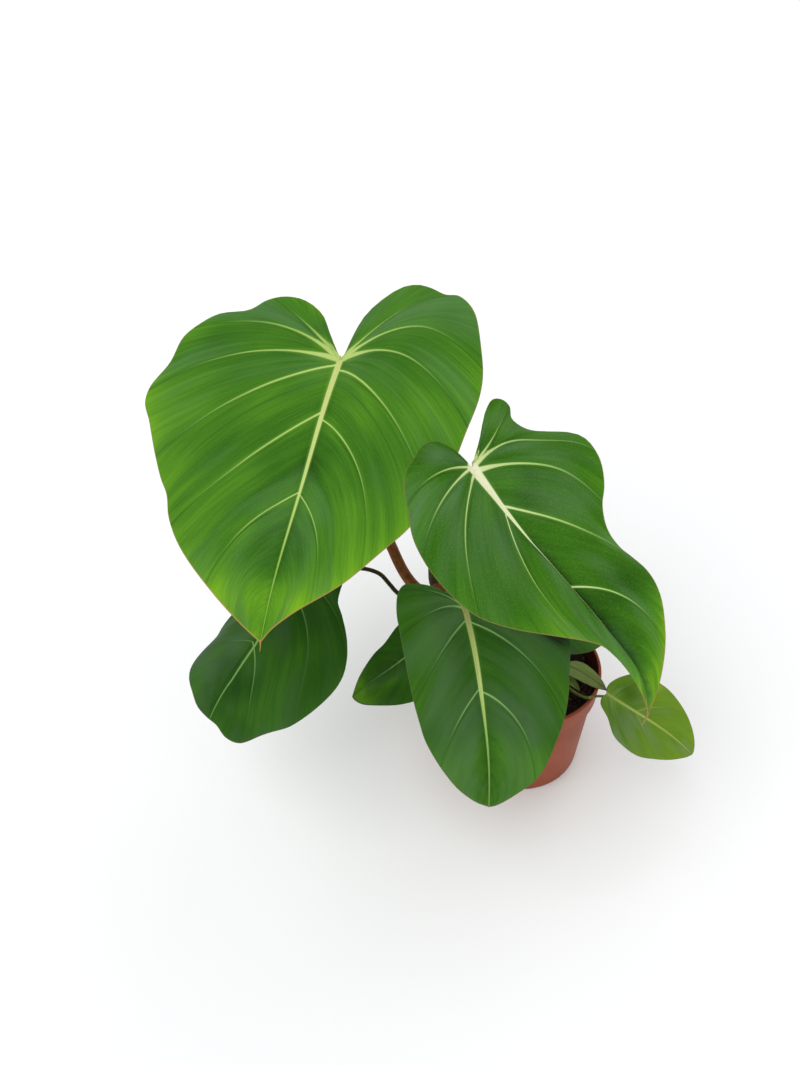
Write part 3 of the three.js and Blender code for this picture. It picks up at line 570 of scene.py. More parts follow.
# The flat leaf as columns along its ribs, closer together at the side veins, with the veins' courses.
def bladeGrid(leaf):
    intervals = len(leaf["veinStarts"]) - 1
    phases = []
    for step in range(intervals * leaf["columns"] + 1):
        part = step / leaf["columns"]
        phases.append(part - veinCrowding * math.sin(2 * math.pi * part) / (2 * math.pi))
    flats = [[ribPoints(leaf, half, phase, rowPlaces) for phase in phases] for half in (0, 1)]
    veins = [[veinCourse(leaf, half, number) for number in range(1, intervals)] for half in (0, 1)]
    return phases, flats, veins


# What one spot of the grid is: where it lies among the side veins, with distances in millimetres.
def bladeSpot(leaf, grid, half, column, row):
    phases, flats, veins = grid
    lines = flats[half]
    line = lines[column]
    intervals = len(leaf["veinStarts"]) - 1
    place, reach, down = line[row], rowPlaces[row], line[row].y / leaf["length"]
    phase = phases[column] - veinShift(leaf, half, phases[column], reach)
    before, after = max(column - 1, 0), min(column + 1, len(phases) - 1)
    turn = (lines[after][row] - lines[before][row]) / (phases[after] - phases[before])
    lead = line[min(row + 1, len(line) - 1)] - line[max(row - 1, 0)]
    spacing = abs(turn.cross(lead)) / max(lead.length, 1e-6)
    aside = abs(phase - round(phase))
    if aside > 0.02 and 0 < round(phase) < intervals:
        spacing = veinDistance(veins[half][round(phase) - 1], place, row) / aside
    rim = lines[after][-1] - lines[before][-1]
    edge = abs((line[-1] - place).cross(rim)) / max(rim.length, 1e-6)
    edge = max(edge, 0.35 * (line[-1] - place).length)

    # how wide and how strong the nearest side vein and the midrib are here
    shows = along(leaf["veinShows"][half], phase / intervals)
    fromSinus = sum(start <= 3 for start in leaf["veinStarts"]) - 1
    branch = leaf["branch"][half] * math.exp(-(place.length / leaf["branch"][2]) ** 2)
    branch *= 1 - rise(fromSinus + 0.45, fromSinus + 0.7, phase)
    midribHalf = along(leaf["midrib"], down) * (1 - rise(0, 5, -place.y)) + 0.02

    # where a half stands up in a sharp crease beside the midrib
    crease, rolled, crest = leaf["crease"], 0, 0
    if crease:
        rolled = rise(crease["from"], crease["from"] + 0.14, down)
        rolled *= 1 - rise(crease["to"] - 0.2, crease["to"], down)
        midribHalf *= 1 - 0.7 * rolled
    if rolled and half == crease["half"]:
        crest = rolled * bump(place.x - crease["offset"], crease["width"])
    return {
        "place": place, "phase": phase, "reach": reach, "spacing": spacing, "down": down, "edge": edge,
        "apart": aside * spacing, "across": (place.x if half else -place.x) - along(leaf["sway"], down),
        "veinHalf": along(leaf["veins"][half], phase / intervals) * (1 - 0.6 * reach) + branch,
        "veinShow": 1 - rise(0.4 * shows, shows, reach), "midribHalf": midribHalf,
        "rolled": rolled, "crest": crest,
    }


# How far the blade lifts off its plain bend: it swells between the veins, is softly pleated and uneven.
def bladeLift(leaf, half, spot, seed):
    place, phase, reach = spot["place"], spot["phase"], spot["reach"]
    arch = 0.5 - 0.5 * math.cos(2 * math.pi * phase)
    calm = min(place.x / 12, 1) * min(spot["edge"] / 6, 1)
    lift = leaf["swell"] * arch * math.sin(math.pi * reach)
    lift += leaf["pleat"] * calm * noise.noise(Vector((phase * 4.2, reach * 1.4, seed)))
    lift += leaf["pleat"] * 0.5 * calm * noise.noise(Vector((phase * 10, reach * 2.2, seed + 3)))
    lift += 1.1 * calm * noise.noise(Vector((place.x * 0.028, place.y * 0.028, seed + 7 + half * 5)))
    return lift + (leaf["crease"]["height"] * spot["crest"] if spot["crest"] else 0)


# Relief of the two skins: midrib and veins stand out below and lie between furrows above.
def bladeRelief(leaf, spot):
    place, reach, edge = spot["place"], spot["reach"], spot["edge"]
    veinHalf, midribHalf, apart = spot["veinHalf"], spot["midribHalf"], spot["apart"]
    slim = 1 - max(spot["down"], 0)
    spine = bump(spot["across"], midribHalf)
    onVein = spot["veinShow"] * bump(apart, veinHalf * 0.9)
    besideVein = spot["veinShow"] * bump(apart - veinHalf * 2.2, veinHalf)
    clear = (1 - spine) * rise(0.5, 5, place.length)
    upper = 0.5 * spine * slim - 0.3 * bump(place.x - midribHalf * 1.7, midribHalf * 0.6)
    upper *= rise(-1, 7, place.y)
    upper += clear * (0.25 * onVein - 0.3 * besideVein)
    pastVein = (spot["phase"] - round(spot["phase"])) * spot["spacing"]
    furrowPlace = pastVein - 2.4 + 2.0 * rise(0.1, 0.75, reach)
    furrow = rise(0.08, 0.4, reach) * rise(0.05, 0.25, veinHalf) * min(edge / 4, 1)
    upper -= 0.25 * furrow * bump(furrowPlace, 1.7)
    lower = leaf["ridge"] * slim * bump(spot["across"], midribHalf * 1.1) + 0.7 * clear * onVein
    return upper, lower * min(edge / 2, 1) * rise(0, 4, place.length)


# How bright and how grey a spot is, from 0 to 1: tone with painted shade, painted shadow and painted grey
# sheen.
def bladeTones(leaf, half, spot, seed):
    place, down = spot["place"], spot["down"]
    glow = along(leaf["glow"][half], down)
    glow += along(leaf["edgeGlow"][half], down) * math.exp(-spot["edge"] / 14)
    # painted shade beside the raised midrib
    glow -= leaf["midribShade"][half] * math.exp(-max(place.x - spot["midribHalf"], 0) / 5)
    glow += 0.2 * noise.noise(Vector((place.x * 0.03, place.y * 0.03, seed + 20)))
    # painted shade in the crease where the half rolls up beside the midrib
    glow -= 0.5 * spot["rolled"] * math.exp(-place.x / 2.5)
    # painted sheen, a grey highlight, along the crest of the crease
    grey = leaf["grey"][half] + 0.7 * spot["crest"]
    # listed patches of tone, painted shade, painted cast shadow and painted sheen
    for spotAcross, spotDown, size, brighter, greyer in leaf["spots"]:
        share = bump(math.hypot(place.x - spotAcross * (1 if half else -1), place.y - spotDown), size)
        glow += brighter * share
        grey += greyer * share
    return glow, grey


# The drip tail, a dry thread that tapers away from the tip. Its faces start at the point called first.
def tailShape(leaf, midrib, first, sides=10, steps=24):
    tip, right, face = bladeAxes(leaf, leaf["length"])
    knots = [midrib[leaf["length"]] + tip * a + right * b + face * c for a, b, c in leaf["tail"]["route"]]
    last = len(knots) - 1
    points = []
    for step in range(steps + 1):
        place = step / steps * last
        ahead = smoothPoint(knots, min(place + 0.1, last)) - smoothPoint(knots, max(place - 0.1, 0))
        level = ahead.cross(face).normalized()
        over = level.cross(ahead).normalized()
        radius = leaf["tail"]["radius"] * (1 - 0.75 * step / steps)
        for turn in range(sides):
            angle = 2 * math.pi * turn / sides
            points.append(smoothPoint(knots, place)
                          + (level * math.cos(angle) + over * math.sin(angle)) * radius)
    return points, tubeFaces(steps + 1, sides, first)


def bladePiece(name, leaf, material, seed):
    midrib = midribPoints(leaf)
    grid = bladeGrid(leaf)
    flats, lastColumn, lastRow = grid[1], len(grid[0]) - 1, len(rowPlaces) - 1
    middles, spots, reliefs, known, faces, rims = [], [], [], {}, [], []

    # the number of a corner of the grid; the halves share those along the midrib and at the tip
    def corner(half, column, row):
        key = (half, column, row)
        if row == 0:
            key = ("midrib", round(flats[half][column][0].y, 4))
        if column == 0:
            key = ("midrib", 0.0)
        if column == lastColumn:
            key = "tip"
        if key not in known:
            spot = bladeSpot(leaf, grid, half, column, row)
            lift = bladeLift(leaf, half, spot, seed)
            middles.append(bladePoint(leaf, midrib, half, spot["place"].x, spot["place"].y, lift))
            reliefs.append(bladeRelief(leaf, spot))
            spot["glow"], spot["grey"] = bladeTones(leaf, half, spot, seed)
            spot["edge"] /= 1 + 1.2 * rise(0.7, 1, spot["down"])  # the margin dries wider near the tip
            spots.append(spot)
            known[key] = len(known)
        return known[key]

    for half in (0, 1):
        for column in range(lastColumn):
            for row in range(lastRow):
                ring = [corner(half, column, row), corner(half, column + 1, row),
                        corner(half, column + 1, row + 1), corner(half, column, row + 1)]
                ring = [number for place, number in enumerate(ring) if number != ring[place - 1]]
                if len(set(ring)) < 3:
                    continue
                faces.append(tuple(ring if half else reversed(ring)))
            rim = (corner(half, column, lastRow), corner(half, column + 1, lastRow))
            if rim[0] != rim[1]:
                rims.append(rim if half else rim[::-1])

    normals = [Vector() for _ in middles]
    for face in faces:
        a, b, c = (middles[number] for number in face[:3])
        normal = (b - a).cross(c - a)
        for number in face:
            normals[number] += normal
    normals = [normal.normalized() for normal in normals]
    thick, count = bladeThickness / 2, len(middles)
    points = [p + n * (thick + r[0]) for p, n, r in zip(middles, normals, reliefs)]
    points += [p - n * (thick + r[1]) for p, n, r in zip(middles, normals, reliefs)]
    allFaces = faces + [tuple(number + count for number in reversed(face)) for face in faces]
    allFaces += [(a, a + count, b + count, b) for a, b in rims]
    if leaf["tail"]:
        tailPoints, tailFaces = tailShape(leaf, midrib, len(points))
        points += tailPoints
        allFaces += tailFaces

    piece = newPiece(name, points, allFaces, material)
    tailCount = len(points) - 2 * count
    dryThread = {"phase": len(leaf["veinStarts"]) - 1, "reach": 1, "spacing": 30, "across": 30, "down": 1,
                 "edge": 0, "veinHalf": 0.02, "veinShow": 0, "midribHalf": 0.02, "glow": 0.5, "grey": 0}
    for valueName in bladeValues:
        writeValues(piece, valueName, [spot[valueName] for spot in spots] * 2
                    + [dryThread[valueName]] * tailCount)
    writeValues(piece, "underside", [0.0] * count + [1.0] * count + [0.0] * tailCount)
    return piece


# Velvety leaf skin, grown: a deep green with a painted grey sheen where its fine hairs would catch the
# light and painted shade in the furrows beside the veins, streaked along the ribs, with pale flat veins
# and a thin dry margin. Tones run from the darkest to the palest.
bladeSkins = {
    "fresh": {
        "body": ["#234c0a", "#306210", "#417718", "#578e1c", "#74aa1a"],
        "midrib": ["#c3cc7c", "#c6d183", "#bed07a", "#93b656", "#74a839"],
        "vein": ["#bdd27a", "#a6c46a", "#7ea653", "#628f3c"], "margin": "#a88c44",
        "grey": "#52784a", "halo": "#5f9428", "under": "#7f9f63",
        "sheen": 0.015, "specks": 0.15, "furrow": 0.6, "minor": 0.35, "streaks": (0.45, 0.36, 0.45),
    },
    "deep": {
        "body": ["#1a4008", "#28580c", "#376c10", "#4c8418", "#7cb016"],
        "midrib": ["#e9e8c2", "#e3e9b4", "#a9c874", "#86ac50", "#6c9440"],
        "vein": ["#d9e3a4", "#b3cf77", "#86a95a", "#658d4a"], "margin": "#a08248",
        "grey": "#5a7e52", "halo": "#4b8228", "under": "#6f8d5c",
        "sheen": 0.02, "specks": 0.22, "furrow": 0.4, "minor": 0.25, "streaks": (0.4, 0.3, 0.3),
    },
    "dim": {
        "body": ["#0e2405", "#234d0e", "#336216", "#46781c", "#5d9018"],
        "midrib": ["#a0a060", "#bac874", "#c0d280", "#9dc160", "#86ab5a", "#729342"],
        "vein": ["#93b86d", "#7aa35e", "#5d8547", "#47722f"], "margin": "#5e6a38",
        "grey": "#4f7245", "halo": "#437428", "under": "#6f8d5c",
        "sheen": 0.02, "specks": 0.2, "furrow": 0.35, "minor": 0.35, "streaks": (0.35, 0.3, 0.3),
    },
    "shade": {
        "body": ["#143608", "#1e440c", "#2a5412", "#3a6a18", "#5f9420"],
        "midrib": ["#8fae5e", "#84a65d", "#6f9450", "#5f8840"],
        "vein": ["#7c9c54", "#587d40", "#3f6428", "#305520"], "margin": "#4f5530",
        "grey": "#446040", "halo": "#356220", "under": "#5f7d50",
        "sheen": 0.015, "specks": 0.2, "furrow": 0.2, "minor": 0.2, "streaks": (0.3, 0.2, 0.25),
    },
    "olive": {
        "body": ["#426616", "#50761e", "#608524", "#709226", "#8cab2c"],
        "midrib": ["#94a85a", "#a6b65c", "#9fb254", "#90a846"],
        "vein": ["#8ea448", "#84a040", "#7a963a", "#6f8f33"], "margin": "#77803c",
        "grey": "#7a9068", "halo": "#86a03a", "under": "#8ca068",
        "sheen": 0.04, "specks": 0.0, "furrow": 0.15, "minor": 0.1, "streaks": (0.3, 0.15, 0.25),
    },
}


def bladeMaterial(name, skin, seed):
    material, tree = newMaterial(name)
    read = {}
    for valueName in (*bladeValues, "underside"):
        read[valueName] = addNode(tree, "Attribute", {"attribute_name": valueName}).outputs["Fac"]
    place = addNode(tree, "TexCoord").outputs["Object"]
    ribPlace = addNode(tree, "CombineXYZ", None, [read["phase"], read["reach"], seed])

    # patterns that follow the side veins, which stand about 35 mm apart: streaks 10 mm wide, pleat shading
    # 4 mm wide, threads 0.8 mm wide and painted sheen in clouds of 20 mm
    patterns = {}
    for patternName, lengths, detail in (
            ("streaks", (3.3, 0.7, 1.0), 2.0), ("pleatShading", (9.0, 0.9, 1.7), 1.0),
            ("threads", (44.0, 4.0, 1.0), 3.0), ("sheenClouds", (1.7, 1.3, 2.3), 1.0)):
        stretched = addNode(tree, "VectorMath", times, [ribPlace, lengths])
        patterns[patternName] = addNode(tree, "TexNoise", None, {
            "Vector": stretched, "Scale": 1.0, "Detail": detail})

    # streaks and pleat bands lighten and darken the tone along the ribs: partly tone, partly painted shading
    # of the pleats
    streaked = read["glow"]
    for patternName, gain in zip(("streaks", "pleatShading", "threads"), skin["streaks"]):
        part = addNode(tree, "Math", {"operation": "MULTIPLY_ADD"}, [patterns[patternName], gain, -gain / 2])
        last = patternName == "threads"
        streaked = addNode(tree, "Math", {"operation": "ADD", "use_clamp": last}, [streaked, part])
    body = addNode(tree, "ValToRGB", None, {"Fac": streaked}, skin["body"])

    # painted grey sheen, in clouds, where the hairs would catch the light
    paintedSheenClouds = addNode(tree, "Math", {"operation": "MULTIPLY_ADD"}, [patterns["sheenClouds"], 3.0, -1.55])
    paintedSheenSum = addNode(tree, "Math", {"operation": "ADD", "use_clamp": True}, [paintedSheenClouds, read["grey"]])
    paintedSheenShare = addNode(tree, "Math", times, [paintedSheenSum, 0.6])

    # painted shade: a dark furrow line on the tip side of each side vein, which takes over where the vein
    # ends
    veinNumber = addNode(tree, "Math", {"operation": "ROUND"}, [read["phase"]])
    pastVein = addNode(tree, "Math", {"operation": "SUBTRACT"}, [read["phase"], veinNumber])
    pastPlace = addNode(tree, "Math", times, [pastVein, read["spacing"]])
    furrowCentre = addNode(tree, "MapRange", smoothly, [read["reach"], 0.1, 0.75, 2.4, 0.4])
    furrowOff = addNode(tree, "Math", {"operation": "SUBTRACT"}, [pastPlace, furrowCentre])
    furrowGap = addNode(tree, "Math", {"operation": "ABSOLUTE"}, [furrowOff])
    furrowLine = addNode(tree, "MapRange", smoothly, [furrowGap, 1.3, 0.1])
    furrowReach = addNode(tree, "MapRange", smoothly, [read["reach"], 0.06, 0.35])
    furrowVein = addNode(tree, "MapRange", None, [read["veinHalf"], 0.05, 0.25, 0, skin["furrow"]])
    furrowFade = addNode(tree, "Math", times, [furrowReach, furrowVein])
    paintedFurrowShade = addNode(tree, "Math", times, [furrowLine, furrowFade])

    # two faint minor veins between every two side veins
    thirds = addNode(tree, "Math", times, [read["phase"], 3.0])
    offThird = addNode(tree, "Math", {"operation": "PINGPONG"}, [thirds, 0.5])
    minorApart = addNode(tree, "Math", times, [offThird, read["spacing"]])
    minorLine = addNode(tree, "MapRange", smoothly, [minorApart, 1.5, 0.3])
    minorFade = addNode(tree, "MapRange", smoothly, [patterns["streaks"], 0.4, 0.65, 0, skin["minor"]])
    minorPart = addNode(tree, "Math", times, [minorLine, minorFade])

    # side veins and the midrib with a soft halo, from the distance to the nearest one and its half width
    offPhase = addNode(tree, "Math", {"operation": "PINGPONG"}, [read["phase"], 0.5])
    apart = addNode(tree, "Math", times, [offPhase, read["spacing"]])
    safeHalf = addNode(tree, "Math", {"operation": "MAXIMUM"}, [read["veinHalf"], 0.03])
    veinPart = addNode(tree, "Math", {"operation": "DIVIDE"}, [apart, safeHalf])
    veinLine = addNode(tree, "MapRange", smoothly, [veinPart, 1.4, 0.6])
    veinHalo = addNode(tree, "MapRange", smoothly, [veinPart, 4.5, 1.0, 0, 0.5])
    veinMask = addNode(tree, "Math", times, [veinLine, read["veinShow"]])
    haloMask = addNode(tree, "Math", times, [veinHalo, read["veinShow"]])
    midribGap = addNode(tree, "Math", {"operation": "ABSOLUTE"}, [read["across"]])
    midribPart = addNode(tree, "Math", {"operation": "DIVIDE"}, [midribGap, read["midribHalf"]])
    midribMask = addNode(tree, "MapRange", smoothly, [midribPart, 1.2, 0.8])
    midribHalo = addNode(tree, "MapRange", smoothly, [midribPart, 2.2, 1.0, 0, 0.6])
    haloTop = addNode(tree, "Math", {"operation": "MAXIMUM"}, [haloMask, midribHalo])
    veinTone = addNode(tree, "ValToRGB", None, {"Fac": read["reach"]}, skin["vein"])
    midribTone = addNode(tree, "ValToRGB", None, {"Fac": read["down"]}, skin["midrib"])

    # fine pale specks about 0.5 mm apart, and the dry margin
    dust = addNode(tree, "TexNoise", None, {"Vector": place, "Scale": 1000 / 0.5, "Detail": 0.0})
    dustPart = addNode(tree, "MapRange", None, [dust, 0.6, 0.75, 0, skin["specks"]])
    marginMask = addNode(tree, "MapRange", smoothly, [read["edge"], 0.6, 0.15])
    marginShow = addNode(tree, "MapRange", None, [read["down"], 0.2, 0.9, 0.35, 1.0])
    marginPart = addNode(tree, "Math", times, [marginMask, marginShow])

    colour = body
    for share, tone in ((paintedSheenShare, skin["grey"]), (paintedFurrowShade, skin["body"][0]), (minorPart, skin["halo"]),
                        (read["underside"], skin["under"]), (haloTop, skin["halo"]), (veinMask, veinTone),
                        (midribMask, midribTone), (dustPart, skin["vein"][2]), (marginPart, skin["margin"])):
        colour = addNode(tree, "Mix", ofColours, [share, colour, tone])
    closeMaterial(tree, patterns["threads"], 0.3, 0.6, {
        "Base Color": colour, "Roughness": 0.6, "Specular IOR Level": 0.06, "Sheen Weight": skin["sheen"],
        "Sheen Roughness": 0.35, "Sheen Tint": "#d7e3cf"})
    return material


for number, leaf in leafBlades.items():
    skinName = leaf["skin"]
    bladeSkin = bladeMaterial(f"velvetyLeafSkin{number}", bladeSkins[skinName], number * 3.7)
    blade = bladePiece(f"leafBlade{number}", leaf, bladeSkin, number * 11.3)
    finishPiece(blade, f"leaf_blade_{number}")
print("leaf blades grown")


# Waxy stalk skin, grown: satin, red-brown, dark or pale olive, mottled at 4 mm, with pale streaks along it.
stalkSkins = {
    "red": {"body": "#64340f", "light": "#8a5022", "streak": "#8e6534", "slot": "red_stalk"},
    "dark": {"body": "#2e2509", "light": "#4b411a", "streak": "#665f30", "slot": "dark_stalk"},
    "pale": {"body": "#5c6428", "light": "#838a44", "streak": "#8f7c48", "slot": "dark_stalk"},
}


def stalkMaterial(name, skin):
    material, tree = newMaterial(name)
    place = addNode(tree, "TexCoord").outputs["Object"]
    turn = addNode(tree, "Attribute", {"attribute_name": "turn"}).outputs["Fac"]
    climb = addNode(tree, "Attribute", {"attribute_name": "climb"}).outputs["Fac"]
    spot = addNode(tree, "CombineXYZ", None, [turn, climb, 0.0])
    stretched = addNode(tree, "VectorMath", times, [spot, (1.6, 0.02, 1.0)])  # 1 mm wide, 50 mm long
    streaks = addNode(tree, "TexNoise", None, {"Vector": stretched, "Scale": 1.0, "Detail": 3.0})
    mottle = addNode(tree, "TexNoise", None, {"Vector": place, "Scale": 1000 / 4, "Detail": 2.0})
    lightPart = addNode(tree, "MapRange", None, [mottle, 0.4, 0.75, 0, 0.7])
    streakPart = addNode(tree, "MapRange", smoothly, [streaks, 0.55, 0.7, 0, 0.45])
    body = addNode(tree, "Mix", ofColours, [lightPart, skin["body"], skin["light"]])
    streaked = addNode(tree, "Mix", ofColours, [streakPart, body, skin["streak"]])
    closeMaterial(tree, streaks, 0.3, 0.4, {
        "Base Color": streaked, "Roughness": 0.5, "Specular IOR Level": 0.15})
    return material


# A round stem: points of its path with a radius at each. Its values turn, up to 8 on one side and down
# again, and climb, the way along it in millimetres, carry the streaks.
def stemPiece(name, path, radii, sides, material):
    points, turns, climbs = [], [], []
    side = Vector((1, 0, 0))
    climb = 0.0
    for place, centre in enumerate(path):
        ahead = path[min(place + 1, len(path) - 1)] - path[max(place - 1, 0)]
        ahead.normalize()
        side = (side - ahead * side.dot(ahead)).normalized()
        other = ahead.cross(side)
        if place:
            climb += (centre - path[place - 1]).length
        for turn in range(sides):
            angle = 2 * math.pi * turn / sides
            points.append(centre + (side * math.cos(angle) + other * math.sin(angle)) * radii[place])
            turns.append(abs(turn / sides * 2 - 1) * 8)
            climbs.append(climb)
    piece = newPiece(name, points, tubeFaces(len(path), sides), material)
    writeValues(piece, "turn", turns)
    writeValues(piece, "climb", climbs)
    return piece


# A stalk follows its route and ends against the lower side of the midrib, just inside the sinus.
def stalkPiece(name, leaf, material):
    stalk = leaf["stalk"]
    foot, top = stalk["radii"]
    tip, _, face = bladeAxes(leaf, 0)
    arrive = Vector(stalk["arrive"]).normalized()
    slope = arrive.cross(face).length
    end = Vector(leaf["sinus"]) + tip * (top + 0.5) - face * (leaf["ridge"] * 0.35 + top * slope + 1.2)
    knots = [Vector(point) for point in stalk["route"]] + [end - arrive * (2.2 * top), end]
    path = []
    for span in range(len(knots) - 1):
        steps = max(3, round((knots[span + 1] - knots[span]).length / 3))  # a ring every 3 mm
        path += [smoothPoint(knots, span + step / steps) for step in range(steps)]
    path.append(end)
    radii = [foot + (top - foot) * (place / (len(path) - 1)) for place in range(len(path))]
    return stemPiece(name, path, radii, 24, material)


stalkMaterials = {}
for skinName, skin in stalkSkins.items():
    stalkMaterials[skinName] = stalkMaterial(f"waxy{skinName.capitalize()}StalkSkin", skin)
for number, leaf in leafBlades.items():
    skinName = leaf["stalk"]["skin"]
    stalk = stalkPiece(f"leafStalk{number}", leaf, stalkMaterials[skinName])
    finishPiece(stalk, f"leaf_stalk_{number}")
print("stalks grown")


# Cataphylls, the sheath leaves that wrap a new leaf, in the same measures as the blades.
plainSheath = {
    **plainLeaf, "swell": 0, "pleat": 0, "ridge": 0.3, "midrib": [0.4, 0.2], "branch": (0, 0, 8),
    "veins": both([0.2, 0.2, 0]), "veinShows": both([0.5, 0.5, 0.2]), "veinBend": both([0, 0, 0]),
}
sheaths = {
    1: {
        "sinus": (28, 5, 88), "length": 56, "columns": 20, "pitch": [-80, -44, -8, 2, 10],
        "heading": [38, 43, 45, 44], "roll": [14, 14], "fold": both([3, 3]), "curl": both([20, 20]),
        "margin": ([(0, 0), (1.8, 0.5), (2.6, 6), (5.6, 14), (8, 25), (7, 37), (4.4, 48), (0, 56)],
                   [(0, 0), (1.8, 0.5), (2.6, 6), (5.4, 14), (7.6, 25), (7, 36), (4, 48), (0, 56)]),
        "veinStarts": [0, 2, 56], "veinEnds": both([0, 1.2, 7]),
    },
    2: {
        "sinus": (30.2, -4.6, 88), "length": 28, "columns": 16, "pitch": [-74, -40, -8, 2],
        "heading": [18, 26, 30], "roll": [0, 0], "fold": both([8, 8]), "curl": both([0, 0]),
        "margin": both([(0, 0), (1.8, 0.5), (2.6, 5), (4.2, 13), (2.6, 22), (0, 28)]),
        "veinStarts": [0, 2, 28], "veinEnds": both([0, 1.2, 5]),
    },
}

sheathColours = {"threads": ("#5f7a30", "#92a455"), "tip": "#55502a"}

# Fibrous sheath skin, grown: satin olive with fine threads 0.5 mm apart along it and a dry brown tip.
sheathSkin, tree = newMaterial("fibrousSheathSkin")
across = addNode(tree, "Attribute", {"attribute_name": "across"}).outputs["Fac"]
down = addNode(tree, "Attribute", {"attribute_name": "down"}).outputs["Fac"]
spot = addNode(tree, "CombineXYZ", None, [across, down, 0.0])
stretched = addNode(tree, "VectorMath", times, [spot, (2.2, 2.0, 1.0)])
threads = addNode(tree, "TexNoise", None, {"Vector": stretched, "Scale": 1.0, "Detail": 3.0})
threadPart = addNode(tree, "MapRange", None, [threads, 0.35, 0.65])
tone = addNode(tree, "Mix", ofColours, [threadPart, *sheathColours["threads"]])
tipPart = addNode(tree, "MapRange", None, [down, 0.55, 0.95, 0, 0.6])
tipped = addNode(tree, "Mix", ofColours, [tipPart, tone, sheathColours["tip"]])
closeMaterial(tree, threads, 0.4, 0.3, {"Base Color": tipped, "Roughness": 0.5, "Specular IOR Level": 0.4})

for number, sheath in sheaths.items():
    sheathPiece = bladePiece(f"cataphyll{number}", {**plainSheath, **sheath}, sheathSkin, number * 5.1)
    finishPiece(sheathPiece, f"cataphyll_{number}")
print("cataphylls grown")


pot = {
    "radius": 60, "height": 105, "foot": 53, "collar": 19, "neck": 3.2, "wall": 1.6, "rim": 2.8,
    "drainHoles": 6, "drainRadius": 4.5, "drainCircle": 33, "segments": 160,
    "plastic": ("#8c3c20", "#9c4b2c"), "paintedInsideShade": "#180a05",
}
outer, inner, wall = pot["radius"], pot["radius"] - pot["rim"], pot["wall"]
foot, height = pot["foot"], pot["height"]
collarBottom, bodyTop = height - pot["collar"], outer - pot["neck"]

# Polypropylene, injection moulded: terracotta-coloured, satin, with a faint flow mottle in clouds 45 mm
# across, dust in 1.4 mm specks, and painted shade, nearly black, on the inside of the collar.
potPlastic, tree = newMaterial("mouldedPolypropylene")
place = addNode(tree, "TexCoord").outputs["Object"]
flow = addNode(tree, "TexNoise", None, {"Vector": place, "Scale": 1000 / 45, "Detail": 4.0})
dust = addNode(tree, "TexNoise", None, {"Vector": place, "Scale": 1000 / 1.4, "Detail": 2.0})
flowPart = addNode(tree, "MapRange", None, [flow, 0.3, 0.7])
tone = addNode(tree, "Mix", ofColours, [flowPart, *pot["plastic"]])
spot = addNode(tree, "SeparateXYZ", None, [place])
# painted shade on the inner wall of the collar, above its foot
level = addNode(tree, "CombineXYZ", None, [spot.outputs["X"], spot.outputs["Y"], 0.0])
fromAxis = addNode(tree, "VectorMath", {"operation": "LENGTH"}, [level])
inward = addNode(tree, "MapRange", smoothly, [fromAxis, (outer - 1.3) * millimetre, inner * millimetre])
raised = addNode(tree, "MapRange", None, [
    spot.outputs["Z"], (collarBottom + 0.2) * millimetre, (collarBottom + 0.6) * millimetre, 0, 0.85])
shaded = addNode(tree, "Math", times, [inward, raised])
shadedInside = addNode(tree, "Mix", ofColours, [shaded, tone, pot["paintedInsideShade"]])
rough = addNode(tree, "MapRange", None, [dust, 0, 1, 0.42, 0.58])
closeMaterial(tree, dust, 0.15, 0.2, {"Base Color": shadedInside, "Roughness": rough, "Specular IOR Level": 0.18})

# the wall's section as (radius, height), from the middle of the base round the outside and back inside
potProfile = [
    (0, 0), (20, 0), (30, 0), (40, 0), (foot - 1.2, 0), (foot - 0.3, 0.25), (foot, 0.8), (foot + 0.3, 2),
    (bodyTop - 0.2, collarBottom - 2), (bodyTop, collarBottom - 0.8), (bodyTop + 0.5, collarBottom - 0.2),
    (bodyTop + 1.2, collarBottom), (outer - 1.2, collarBottom), (outer - 0.8, collarBottom + 0.15),
    (outer - 0.6, collarBottom + 0.6), (outer - 0.3, height - 3.6), (outer - 0.1, height - 3.1),
    (outer, height - 1), (outer - 0.3, height - 0.3), (outer - 0.9, height), (inner + 0.5, height),
    (inner + 0.1, height - 0.3), (inner, height - 1), (inner - 0.4, collarBottom + wall + 1),
    (inner - 0.9, collarBottom + wall), (bodyTop - wall, collarBottom - 1), (foot - wall, wall + 0.6),
    (foot - wall - 0.6, wall), (40, wall), (30, wall), (20, wall), (0, wall),
]
points, faces = [], []
for turn in range(pot["segments"]):
    angle = 2 * math.pi * turn / pot["segments"]
    points += [(radius * math.cos(angle), radius * math.sin(angle), z) for radius, z in potProfile]
    here, there = turn * len(potProfile), (turn + 1) % pot["segments"] * len(potProfile)
    for step in range(len(potProfile) - 1):
        faces.append((here + step, there + step, there + step + 1, here + step + 1))
potPiece = newPiece("nurseryPot", points, faces, potPlastic)

# the points on the axis become one
shape = bmesh.new()
shape.from_mesh(potPiece.data)
bmesh.ops.remove_doubles(shape, verts=shape.verts, dist=0.01 * millimetre)
bmesh.ops.dissolve_degenerate(shape, edges=shape.edges, dist=0.01 * millimetre)
bmesh.ops.recalc_face_normals(shape, faces=shape.faces)
shape.to_mesh(potPiece.data)
shape.free()

